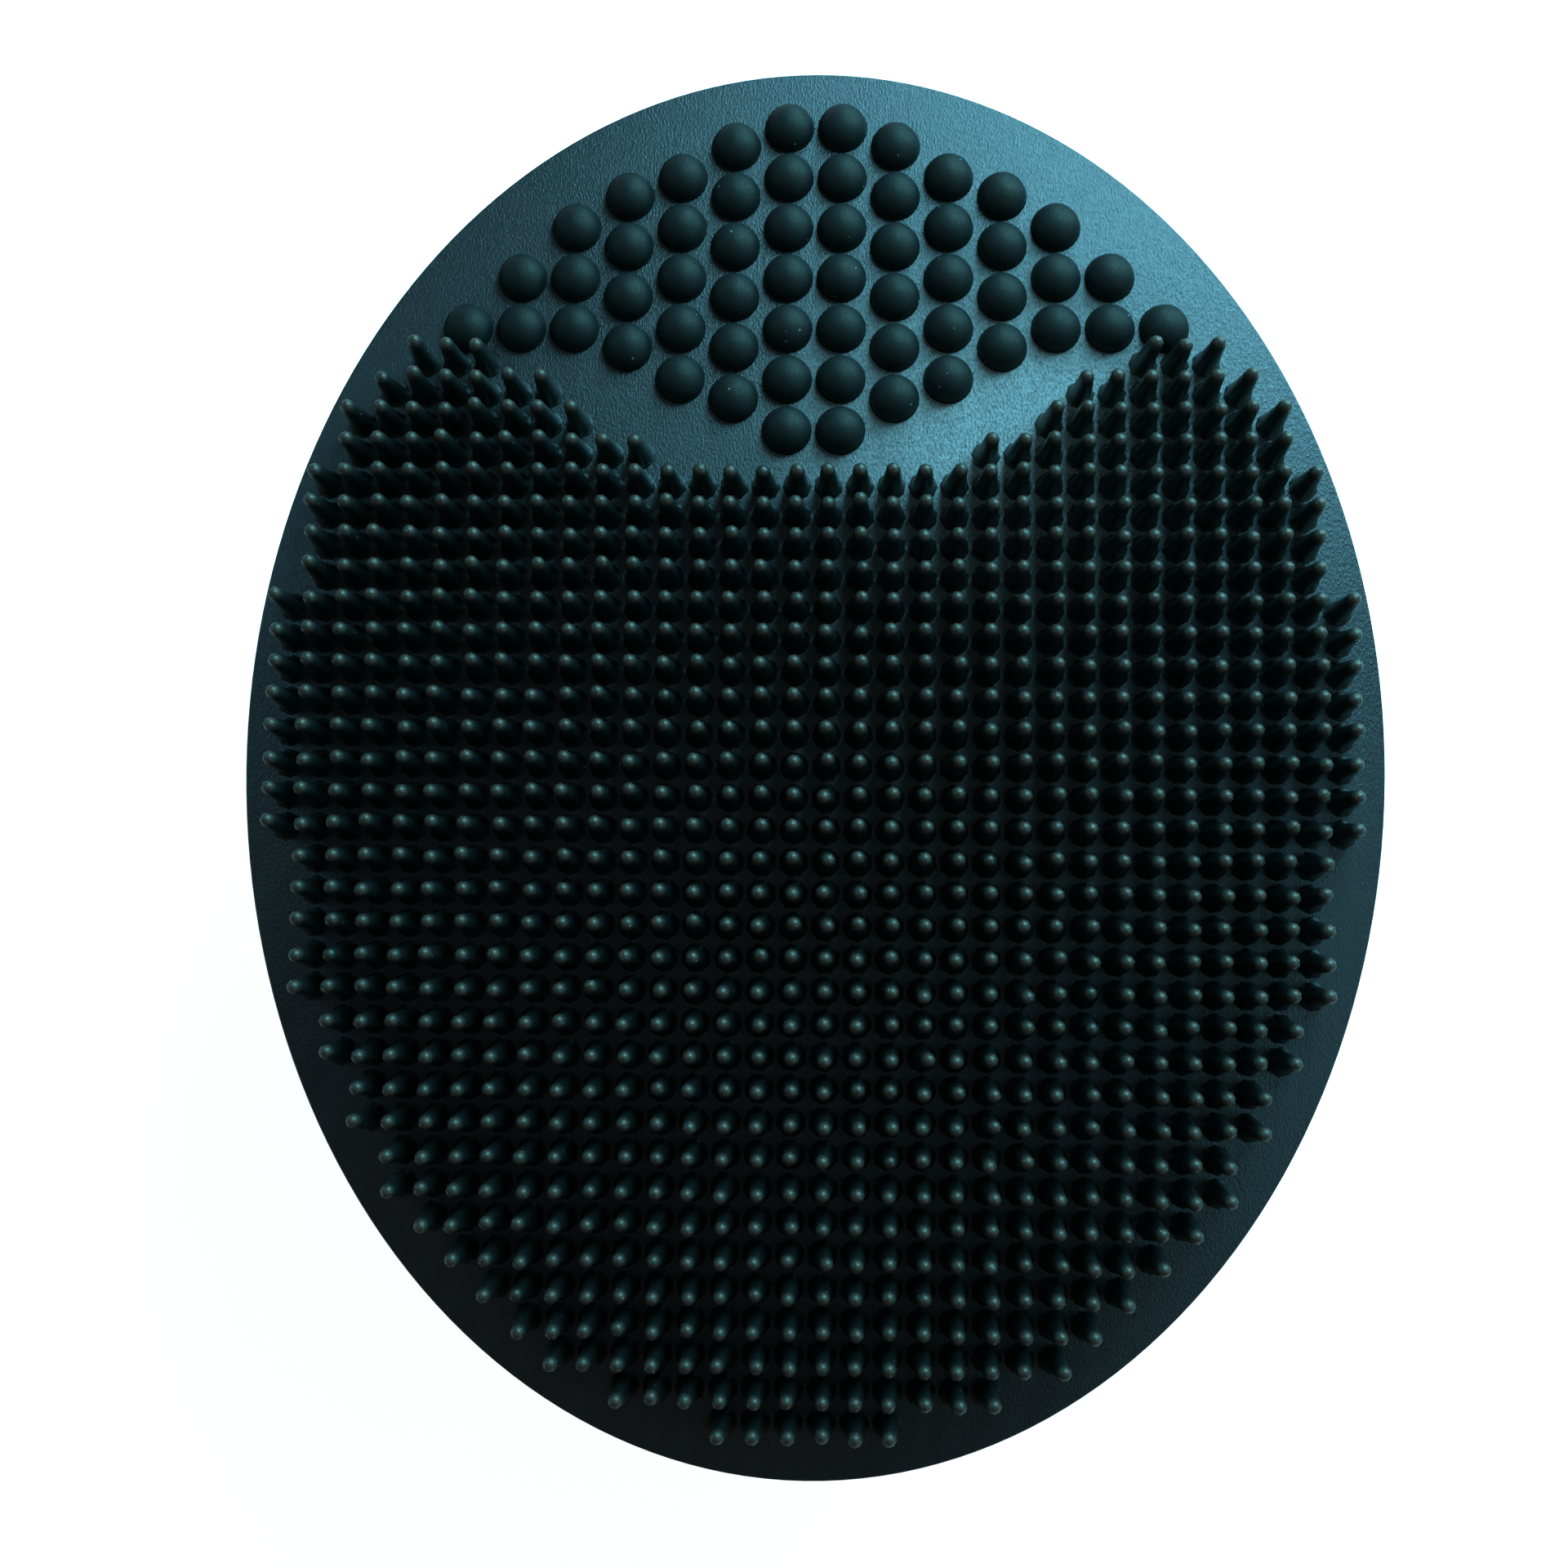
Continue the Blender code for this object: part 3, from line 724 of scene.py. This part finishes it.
class CURRY_OT_pins(bpy.types.Operator):
    """Model one pin and copy it over the grid, each with a small lean of its own"""

    bl_idname = "curry.pins"
    bl_label = "Pins"

    def execute(self, context):
        pad = context.scene.curry_pad
        front, tall = sheet_front(pad), pad.pin_height
        foot, finger, tip = pad.pin_foot, pad.pin_finger, pad.pin_tip
        profile = [(foot, -0.02 * tall), (foot, 0.0), (foot - 0.17 * MM, 0.018 * tall)]
        profile += [(foot - 0.29 * MM, 0.065 * tall), (finger + 0.1 * MM, 0.2 * tall)]
        profile += [(finger, 0.45 * tall), (0.3 * finger + 0.7 * tip, 0.7 * tall)]
        profile += [(tip, 0.9 * tall), (0.72 * tip, 0.97 * tall), (0.28 * tip, tall)]
        pin = turned("pin", PIN_SIDES, round_steps(profile))
        smooth(pin)
        draw = random.Random(pad.seed)

        def shape(mesh, place):
            lean = Vector((draw.gauss(0, pad.pin_lean), draw.gauss(0, pad.pin_lean), 0))
            reach = 1 - abs(draw.gauss(0, 0.015)) - (0.1 if draw.random() < 0.012 else 0)
            turn = Matrix.Rotation(draw.uniform(0, math.tau), 4, "Z")
            for vert in mesh.vertices:
                up = max(0.0, vert.co.z / tall)
                vert.co = turn @ vert.co
                if up > 0:
                    vert.co.z *= reach
                vert.co += lean * up**1.6
            mesh.transform(Matrix.Translation((*place, front)))

        pins = join("pad_pins", copies(pin, pin_centres(pad), shape))
        tone, ends = context.scene.curry_finish.rubber, (front, PAD_HIGH.z)
        dark = dark_rubber("Pin rubber", tone, 0.48, 0.65, 0.16, 0.95, ends)
        piece(pins, "pad", "rubber", dark)
        return {"FINISHED"}


# Plate, hinge pins and cushion


ROD_SIDES = 32
# How far an ear reaches into the plate.
EAR_ROOT = 0.8 * MM
# The cushion's rim, and how far its middle stands proud of it.
CUSHION_RIM = 2.0 * MM
CUSHION_CROWN = 0.9 * MM
# The cushion's face, from rim to middle: its steps, its channels and their width.
CUSHION_STEPS = 23
CUSHION_STEP = 1.25 * MM
CHANNELS = (4.0, 12.0)
CHANNEL_WIDTH = 0.9


def rod(name, x, profile):
    """A turned piece on a hinge axis, from its (radius, y) steps."""
    obj = turned(name, ROD_SIDES, round_steps(profile))
    lay_down = Matrix.Rotation(math.radians(-90), 4, "X")
    obj.data.transform(Matrix.Translation((x, 0, HINGE.z)) @ lay_down)
    return obj


class CURRY_OT_plate(bpy.types.Operator):
    """Model the back plate with its four ears"""

    bl_idname = "curry.plate"
    bl_label = "Back plate"

    def execute(self, context):
        back = context.scene.curry_back
        wide, long = PLATE_HIGH.x, PLATE_HIGH.y
        rise, border, soft = 0.35 * MM, 2.2 * MM, back.soft_edge
        steps = [
            (wide, long, PLATE_HIGH.z),
            (wide, long, PLATE_BACK + soft),
            (wide - 0.3 * soft, long - 0.3 * soft, PLATE_BACK + 0.3 * soft),
            (wide - soft, long - soft, PLATE_BACK),
            (wide - border, long - border, PLATE_BACK),
            (wide - border - rise, long - border - rise, PLATE_BACK + rise),
        ]
        plate = turned("back_plate_moulding", 160, steps)
        for side in (-1, 1):
            for end in (-1, 1):
                cut(plate, ear(back, side * HINGE.x, end), "UNION")
        round_edges(plate, 0.3 * soft, 2, 50)
        for side in (-1, 1):
            bore = back.pin_radius + 0.5 * back.pin_clearance
            past = EAR_FACE + 2 * MM
            cut(plate, rod("bore", side * HINGE.x, [(bore, -past), (bore, past)]))
        smooth(plate, 35)
        plastic = moulded_plastic(context.scene.curry_finish)
        piece(plate, "pad", "plate_plastic", plastic, "back_plate")
        return {"FINISHED"}


def ear(back, x, end):
    """One ear: a block with a round end on the hinge axis, rooted in the plate."""
    low_y, high_y = sorted((end * (EAR_FACE - back.ear_thickness), end * EAR_FACE))
    radius, root = back.ear_radius, PLATE_BACK + EAR_ROOT
    obj = block("ear", (x - radius, low_y, HINGE.z - radius), (x + radius, high_y, root))

    def along_y(edge):
        first, second = edge.verts
        return abs(first.co.x - second.co.x) < 1e-6 and max(first.co.z, second.co.z) < HINGE.z

    return bevel_edges(obj, along_y, radius * 0.98, 10)


class CURRY_OT_hinge_pins(bpy.types.Operator):
    """Model the two steel hinge pins with their domed heads"""

    bl_idname = "curry.hinge_pins"
    bl_label = "Hinge pins"

    def execute(self, context):
        back = context.scene.curry_back
        steel = hinge_steel(context.scene.curry_finish)
        end, head = PIN_HIGH.y, PIN_HIGH.z - HINGE.z
        under = EAR_FACE + back.pin_clearance
        rise = end - under
        half = [(0.25 * head, end), (0.62 * head, end - 0.12 * rise)]
        half += [(0.88 * head, end - 0.4 * rise), (head, end - 0.75 * rise)]
        half += [(head, under), (back.pin_radius, under)]
        profile = [(radius, -y) for radius, y in half] + half[::-1]
        for name, x in (("left", -HINGE.x), ("right", HINGE.x)):
            pin = smooth(rod(f"{name}_hinge_pin", x, profile), 35)
            piece(pin, "pad", "hinge_steel", steel, f"hinge_pin_{name}")
        return {"FINISHED"}


class CURRY_OT_cushion(bpy.types.Operator):
    """Model the palm cushion, crowned and pressed with two oval channels"""

    bl_idname = "curry.cushion"
    bl_label = "Palm cushion"

    def execute(self, context):
        back = context.scene.curry_back
        wide, long = CUSHION_HIGH.x, CUSHION_HIGH.y
        top, face = CUSHION_HIGH.z, CUSHION_LOW.z
        ease, rim, crown = 0.3 * MM, CUSHION_RIM, CUSHION_CROWN
        steps = [(wide - ease, long - ease, top), (wide, long, top - ease)]
        for turn in range(0, 91, 15):
            angle = math.radians(turn)
            inset = rim * (1 - math.cos(angle))
            height = face + crown + 0.33 * (top - face) * (1 - math.sin(angle))
            steps.append((wide - inset, long - inset, height))
        for number in range(1, CUSHION_STEPS + 1):
            inset = rim + number * CUSHION_STEP
            height = face + crown * (1 - math.sin(math.pi / 2 * number / CUSHION_STEPS))
            for channel in CHANNELS:
                height += back.channel * math.exp(-(((number - channel) / CHANNEL_WIDTH) ** 2))
            steps.append((wide - inset, long - inset, height))
        cushion = smooth(turned("palm_cushion_foam", 96, steps), 60)
        foam = cushion_foam(context.scene.curry_finish)
        piece(cushion, "pad", "cushion_foam", foam, "palm_cushion")
        return {"FINISHED"}


# Strap


FOLD_STEPS, BEND_STEPS, LEVEL_STEPS = 5, 8, 4
# From an edge to its stitches: the strap's sides, the ends of a seam, the fold and the patch.
SIDE_SEAM = 3.5 * MM
END_SEAM = 1.5 * MM
FOLD_SEAM = 2.0 * MM
PATCH_INSET = 3.0 * MM


def arch_point(travel, offset, crown, bend):
    """A point of a strap half in (x, rise).

    travel is the distance from the hinge axis along the strap's inner face, which goes straight up,
    turns through a quarter circle and runs level. offset is the distance out from that face.
    """
    straight, quarter = crown - bend - HINGE_RISE, bend * math.pi / 2
    if travel <= straight:
        return HINGE.x + offset, HINGE_RISE + travel
    turn = min(travel - straight, quarter) / bend
    x = HINGE.x - bend + (bend + offset) * math.cos(turn)
    rise = crown - bend + (bend + offset) * math.sin(turn)
    return x - max(0, travel - straight - quarter), rise


def strap_route(strap, back, crown, bend, tip):
    """The middle of the webbing, in (x, z): its folded end, round the hinge pin, and to its tip."""
    straight, quarter = crown - bend - HINGE_RISE, bend * math.pi / 2
    half, meet = strap.layer / 2, strap.neck + 1.5 * MM
    fold_end = strap.neck + strap.fold
    around = back.pin_radius + back.pin_clearance + half
    step = (fold_end - meet) / FOLD_STEPS
    folded = [fold_end - part * step for part in range(FOLD_STEPS + 1)]
    folded = [arch_point(travel, -half, crown, bend) for travel in folded]
    loop = []
    for turn in range(160, 381, 22):
        angle = math.radians(turn)
        loop.append((HINGE.x + around * math.cos(angle), HINGE_RISE + around * math.sin(angle)))
    level = HINGE.x - bend + tip
    first = 0 if straight > meet else 1
    run = [meet] + [straight + quarter * part / BEND_STEPS for part in range(first, BEND_STEPS + 1)]
    run += [straight + quarter + level * part / LEVEL_STEPS for part in range(1, LEVEL_STEPS + 1)]
    run = [arch_point(travel, half, crown, bend) for travel in run]
    return [(x, PLATE_BACK - rise) for x, rise in folded + loop + run]


def route_curve(points):
    """A flat curve through the route's points, in its own XY plane."""
    data = bpy.data.curves.new("route", "CURVE")
    data.dimensions = "2D"
    data.resolution_u = 16
    spline = data.splines.new("BEZIER")
    spline.bezier_points.add(len(points) - 1)
    for knot, (x, z) in zip(spline.bezier_points, points):
        knot.co = (x, z, 0)
        knot.handle_left_type = knot.handle_right_type = "AUTO"
    obj = bpy.data.objects.new("route", data)
    link(obj)
    bpy.context.view_layer.update()
    return obj, spline.calc_length()


def flat_webbing(name, long, wide, thickness, corner):
    """A strip of webbing along X, stood on its edge, with its far end's corners rounded."""
    deselect()
    cells = {"x_subdivisions": int(long / MM), "y_subdivisions": 20}
    bpy.ops.mesh.primitive_grid_add(size=1, calc_uvs=True, **cells)
    strip = bpy.context.object
    strip.name = name
    strip.data.transform(Matrix.Diagonal((long, wide, 1, 1)) @ Matrix.Translation((0.5, 0, 0)))
    for vert in strip.data.vertices:
        into = vert.co.x - (long - corner)
        if into > 0:
            half = wide / 2
            vert.co.y *= (half - corner + math.sqrt(max(0.0, corner**2 - into**2))) / half
    apply_modifier(strip, "SOLIDIFY", thickness=thickness, offset=0)
    round_edges(strip, 0.3 * thickness, 3, 50)
    strip.data.transform(Matrix.Rotation(math.radians(90), 4, "X"))
    return strip


def stitch_lines(strap, lines, face):
    """Stitches on a flat strip at one height. Each line is two (along, across) points."""
    thread, long = strap.thread / 2, strap.stitch
    ends = [(0.35 * thread, -long / 2), (thread, -0.36 * long)]
    ends += [(thread, 0.36 * long), (0.35 * thread, long / 2)]
    stitch = smooth(turned("stitch", 6, round_steps(ends)))
    stitch.data.transform(Matrix.Rotation(math.radians(90), 4, "Y"))
    places = []
    for (from_x, from_z), (to_x, to_z) in lines:
        span = math.dist((from_x, from_z), (to_x, to_z))
        count = max(1, round(span / (strap.stitch + strap.stitch_gap)))
        angle = math.atan2(to_z - from_z, to_x - from_x)
        for number in range(count):
            share = (number + 0.5) / count
            x, z = from_x + share * (to_x - from_x), from_z + share * (to_z - from_z)
            places.append((x, z, angle))

    def shape(mesh, place):
        x, z, angle = place
        mesh.transform(Matrix.Translation((x, face, z)) @ Matrix.Rotation(-angle, 4, "Y"))

    return copies(stitch, places, shape)


def rectangle(low_x, high_x, half_z, crossed=False):
    """The four sides of a sewn rectangle, and its diagonals if it is crossed."""
    corners = [(low_x, -half_z), (high_x, -half_z), (high_x, half_z), (low_x, half_z)]
    lines = list(zip(corners, corners[1:] + corners[:1]))
    if crossed:
        lines += [(corners[0], corners[2]), (corners[1], corners[3])]
    return lines


def seams(strap, long, crown, bend, tip):
    """The stitch lines of a flat strap: those of its folded end, and those round its patch."""
    half = STRAP_WIDTH / 2 - SIDE_SEAM
    sewn_end = strap.fold - END_SEAM
    on_hand_side = rectangle(FOLD_SEAM, sewn_end, half, crossed=True)
    straight, quarter = crown - bend - HINGE_RISE, bend * math.pi / 2
    past_straight = quarter * (bend + strap.layer / 2) / bend + HINGE.x - bend + tip
    neck = long - past_straight - straight + strap.neck
    far = neck + sewn_end * (bend + strap.layer) / bend
    outside = rectangle(neck + END_SEAM, far, half, crossed=True)
    patch_end = long - PATCH_INSET - END_SEAM
    patch_start = patch_end - (HOOK_HIGH.x - HOOK_LOW.x) + PATCH_INSET
    patch = rectangle(patch_start, patch_end, half)
    return on_hand_side + outside, patch


def make_strap(context, name, side, crown, bend, tip):
    """One half of the strap: flat webbing and its stitches, bent round the route."""
    strap, finish = context.scene.curry_strap, context.scene.curry_finish
    body, node = f"{name}_strap", f"strap_{name}"
    route, long = route_curve(strap_route(strap, context.scene.curry_back, crown, bend, tip))
    webbing = flat_webbing(f"{name}_webbing", long, STRAP_WIDTH, strap.thickness, strap.tip_corner)
    woven = strap_webbing(finish, f"Webbing of {name}_webbing", long, STRAP_WIDTH)
    proud = strap.layer / 2 - strap.thread / 2
    ends, patch = seams(strap, long, crown, bend, tip)
    stitches = stitch_lines(strap, ends, proud)
    stitches += stitch_lines(strap, patch, -proud)
    if side > 0:
        stitches += stitch_lines(strap, patch, proud)
    thread = join(f"{name}_webbing_stitching", stitches)
    for obj in (webbing, thread):
        apply_modifier(obj, "CURVE", object=route)
        obj.data.transform(Matrix.Rotation(math.radians(90), 4, "X"))
        if side < 0:
            obj.data.transform(Matrix.Diagonal((-1, 1, 1, 1)))
        edit(obj)
        done(obj)
    remove(route)
    smooth(webbing, 60)
    smooth(thread)
    piece(webbing, body, "strap_webbing", woven, node)
    piece(thread, body, "strap_webbing", sewing_thread(finish))


class CURRY_OT_straps(bpy.types.Operator):
    """Model both halves of the strap with their folded ends and stitching"""

    bl_idname = "curry.straps"
    bl_label = "Strap"

    def execute(self, context):
        strap = context.scene.curry_strap
        inner_crown = PLATE_BACK - INNER_LOW.z - strap.layer
        outer_crown = PLATE_BACK - OUTER_LOW.z - strap.layer
        make_strap(context, "inner", -1, inner_crown, strap.inner_bend, INNER_HIGH.x)
        make_strap(context, "outer", 1, outer_crown, strap.outer_bend, -OUTER_LOW.x)
        return {"FINISHED"}


NAP_SEED = 5
NAP_CUTS = 40
HOOK_STEM = 0.16 * MM
HOOK_MARGIN = 1.6 * MM
HOOK_CORNER = 2 * MM


def loop_pile():
    """The loop patch: a thin block whose outside has an uneven nap that thins out to its edges."""
    loops = block("loop_patch_pile", LOOP_LOW, LOOP_HIGH)
    edit(loops)
    select_where(loops, "faces", lambda face: face.normal.z < -0.5)
    bpy.ops.mesh.subdivide(number_cuts=NAP_CUTS)
    done(loops)
    thick = LOOP_HIGH.z - LOOP_LOW.z
    draw = random.Random(NAP_SEED)
    for vert in loops.data.vertices:
        from_sides = min(vert.co.x - LOOP_LOW.x, LOOP_HIGH.x - vert.co.x)
        edge = min(from_sides, vert.co.y - LOOP_LOW.y, LOOP_HIGH.y - vert.co.y)
        if vert.co.z < LOOP_LOW.z + 1e-6:
            vert.co.z += thick * (0.35 * draw.random() + 0.3 * math.exp(-edge / (0.8 * MM)))
    return smooth(loops, 80)


def hook_rows(pitch):
    """The hook patch: a base with rounded corners and rows of small mushroom hooks."""
    base_top = HOOK_HIGH.z - 0.45 * (HOOK_HIGH.z - HOOK_LOW.z)
    base = block("hook_base", HOOK_LOW, (HOOK_HIGH.x, HOOK_HIGH.y, base_top))
    bevel_edges(base, is_upright, HOOK_CORNER, 5)
    room = HOOK_HIGH.z - base_top
    profile = [(1.4 * HOOK_STEM, base_top - 0.1 * MM), (HOOK_STEM, base_top + 0.25 * room)]
    profile += [(HOOK_STEM, base_top + 0.7 * room), (2.0 * HOOK_STEM, base_top + 0.85 * room)]
    profile.append((1.2 * HOOK_STEM, HOOK_HIGH.z))
    hook = smooth(turned("hook", 5, round_steps(profile)), 60)
    columns = int((HOOK_HIGH.x - HOOK_LOW.x - 2 * HOOK_MARGIN) / pitch)
    rows = int((HOOK_HIGH.y - HOOK_LOW.y - 2 * HOOK_MARGIN) / pitch)
    middle = (HOOK_LOW + HOOK_HIGH) / 2
    places = [
        (middle.x + (column - columns / 2) * pitch, middle.y + (row - rows / 2) * pitch)
        for column in range(columns + 1)
        for row in range(rows + 1)
    ]
    return join("hook_patch_hooks", [base, *copies(hook, places, put)])


class CURRY_OT_fastener(bpy.types.Operator):
    """Model the loop patch with its nap and the hook patch with its rows of hooks"""

    bl_idname = "curry.fastener"
    bl_label = "Fastener patches"

    def execute(self, context):
        finish = context.scene.curry_finish
        loops = loop_pile()
        piece(loops, "inner_strap", "fastener_loop", fastener_pile(finish), "loop_patch")
        hooks = hook_rows(context.scene.curry_strap.hook_pitch)
        piece(hooks, "outer_strap", "fastener_hook", fastener_hooks(finish), "hook_patch")
        return {"FINISHED"}


TAB_CORNER = 9 * MM
TAB_LIFT = 0.05 * MM
TAB_GROOVES = 4
GROOVE_HALF = 0.45 * MM


class CURRY_OT_tab(bpy.types.Operator):
    """Model the pull tab with its grip ridges"""

    bl_idname = "curry.tab"
    bl_label = "Pull tab"

    def execute(self, context):
        tab = block("pull_tab_grip", TAB_LOW + Vector((0, 0, TAB_LIFT)), TAB_HIGH)

        def upright_at_end(edge):
            return is_upright(edge) and edge.verts[0].co.x < TAB_LOW.x + 1e-6

        bevel_edges(tab, upright_at_end, TAB_CORNER, 12)
        deep = 0.15 * (TAB_HIGH.z - TAB_LOW.z)
        for number in range(TAB_GROOVES):
            x = TAB_HIGH.x - (2.2 + 1.9 * number) * MM
            reach = (TAB_HIGH.y - TAB_LOW.y) / 2 - (3.2 + 0.9 * number**1.5) * MM
            for z in (TAB_LOW.z, TAB_HIGH.z):
                low = (x - GROOVE_HALF, -reach, z - deep)
                cut(tab, block("groove", low, (x + GROOVE_HALF, reach, z + deep)))
        round_edges(tab, 0.25 * MM, 3, 40)
        smooth(tab, 35)
        rubber = dark_rubber("Tab rubber", context.scene.curry_finish.tab, 0.5, 0.5, 0.08, 0.99)
        piece(tab, "outer_strap", "tab_rubber", rubber, "pull_tab")
        return {"FINISHED"}


# Stage


LOW_SKY = (0.2, 0.72, 1.0)
HIGH_SKY = (0.24, 0.78, 1.0)
# Each light of the window and its walls: name, heading, tilt, size, share of the key and colour.
WINDOW_LIGHTS = (
    ("window pane", 16, 70, (0.07, 0.09), 0.24, LOW_SKY),
    ("second pane", 48, 70, (0.07, 0.09), 0.27, LOW_SKY),
    ("upper window", 30, 47, (0.1, 0.1), 0.36, HIGH_SKY),
    ("right wall", 105, 60, (0.14, 0.1), 0.06, HIGH_SKY),
    ("left wall", -70, 60, (0.14, 0.1), 0.045, LOW_SKY),
)
# The low lights all round, which reach the strap.
SIDE_HEADINGS = (-110, -20, 60, 150)
SIDE_TARGET = Vector((0, 0, 0.012))
SIDE_TINT = (0.6, 0.9, 1.0)
CAMERA_X, CAMERA_Y = 2.43 * MM, -19.55 * MM
# The camera's small turns away from looking straight down: pitch, yaw and roll, in degrees.
CAMERA_TURNS = (-5.57, -1.66, -0.43)


def area_light(name, target, direction, size, power, tint):
    """A soft box that faces the target, from its (heading off +Y, tilt off upright, distance)."""
    heading, tilt, distance = math.radians(direction[0]), math.radians(direction[1]), direction[2]
    level = Vector((math.sin(heading), math.cos(heading), 0))
    toward = math.sin(tilt) * level + Vector((0, 0, math.cos(tilt)))
    data = bpy.data.lights.new(name, "AREA")
    data.shape = "RECTANGLE"
    data.size, data.size_y = size
    data.energy = power
    data.color = tint
    light = bpy.data.objects.new(name, data)
    light.location = target + distance * toward
    light.rotation_euler = toward.to_track_quat("Z", "Y").to_euler()
    light.visible_camera = False
    link(light)


class CURRY_OT_stage(bpy.types.Operator):
    """Set up the pale floor, the soft lights and the camera"""

    bl_idname = "curry.stage"
    bl_label = "Stage"

    def execute(self, context):
        stage, finish = context.scene.curry_stage, context.scene.curry_finish
        deselect()
        bpy.ops.mesh.primitive_plane_add(size=6, location=(0, 0, 0))
        floor = bpy.context.object
        floor.name = "floor"
        made, tree, _ = start_material("Pale floor", 0.9, specular=0.1)
        tree.shade(Base_Color=(*finish.floor, 1), Emission_Color=(1, 1, 1, 1))
        glow = tree.add("LightPath").outputs["Is Camera Ray"]
        tree.shade(Emission_Strength=tree.maths("MULTIPLY", glow, stage.floor_glow))
        floor.data.materials.append(made)

        world = bpy.data.worlds.new("Studio")
        context.scene.world = world
        world.use_nodes = True
        sky = Tree(world.node_tree)
        light = world.node_tree.nodes["Background"]
        light.inputs["Color"].default_value = (0.85, 1.0, 1.0, 1)
        light.inputs["Strength"].default_value = stage.sky
        seen = sky.add("Background", Color=(1, 1, 1, 1), Strength=stage.backdrop)
        path = sky.add("LightPath")
        blend = sky.add("MixShader")
        for place, value in enumerate((path.outputs["Is Camera Ray"], light, seen)):
            sky.feed(blend.inputs[place], value)
        sky.feed(world.node_tree.nodes["World Output"].inputs["Surface"], blend)

        middle = Vector((0, 0, sheet_front(context.scene.curry_pad)))
        for name, heading, tilt, size, share, tint in WINDOW_LIGHTS:
            area_light(name, middle, (heading, tilt, 0.26), size, share * stage.key, tint)
        for heading in SIDE_HEADINGS:
            area_light("low side", SIDE_TARGET, (heading, 90, 0.2), (0.2, 0.016), stage.fill, SIDE_TINT)

        data = bpy.data.cameras.new("camera")
        data.lens = stage.lens
        data.sensor_width = 36
        data.clip_start, data.clip_end = 0.01, 10
        camera = bpy.data.objects.new("camera", data)
        camera.location = (CAMERA_X, CAMERA_Y, middle.z + stage.camera_height)
        pitch, yaw, roll = (math.radians(angle) for angle in CAMERA_TURNS)
        turn = Matrix.Rotation(roll, 3, "Z") @ Matrix.Rotation(yaw, 3, "Y")
        turn @= Matrix.Rotation(pitch, 3, "X")
        camera.rotation_euler = turn.transposed().to_euler()
        link(camera)
        context.scene.camera = camera
        context.scene.view_settings.view_transform = "Standard"
        return {"FINISHED"}


class CURRY_PT_panel(bpy.types.Panel):
    """Lists the steps that make the brush"""

    bl_idname = "CURRY_PT_panel"
    bl_label = "Curry Brush"
    bl_space_type = "VIEW_3D"
    bl_region_type = "UI"
    bl_category = "Curry Brush"

    def draw(self, context):
        layout = self.layout
        for operator in STEPS:
            layout.operator(operator.bl_idname)
        for name, kind in GROUPS.items():
            box = layout.box()
            box.label(text=kind.__doc__)
            settings = getattr(context.scene, name)
            for prop in kind.__annotations__:
                box.prop(settings, prop)


STEPS = (
    CURRY_OT_stage,
    CURRY_OT_sheet,
    CURRY_OT_nubs,
    CURRY_OT_pins,
    CURRY_OT_plate,
    CURRY_OT_hinge_pins,
    CURRY_OT_cushion,
    CURRY_OT_straps,
    CURRY_OT_fastener,
    CURRY_OT_tab,
)


def register():
    for kind in (*GROUPS.values(), *STEPS, CURRY_PT_panel):
        bpy.utils.register_class(kind)
    for name, kind in GROUPS.items():
        setattr(bpy.types.Scene, name, PointerProperty(type=kind))


def unregister():
    for name in GROUPS:
        delattr(bpy.types.Scene, name)
    for kind in (CURRY_PT_panel, *STEPS[::-1], *reversed(GROUPS.values())):
        bpy.utils.unregister_class(kind)


def main():
    register()
    for step in STEPS:
        space, name = step.bl_idname.split(".")
        getattr(getattr(bpy.ops, space), name)()


if __name__ == "__main__":
    main()
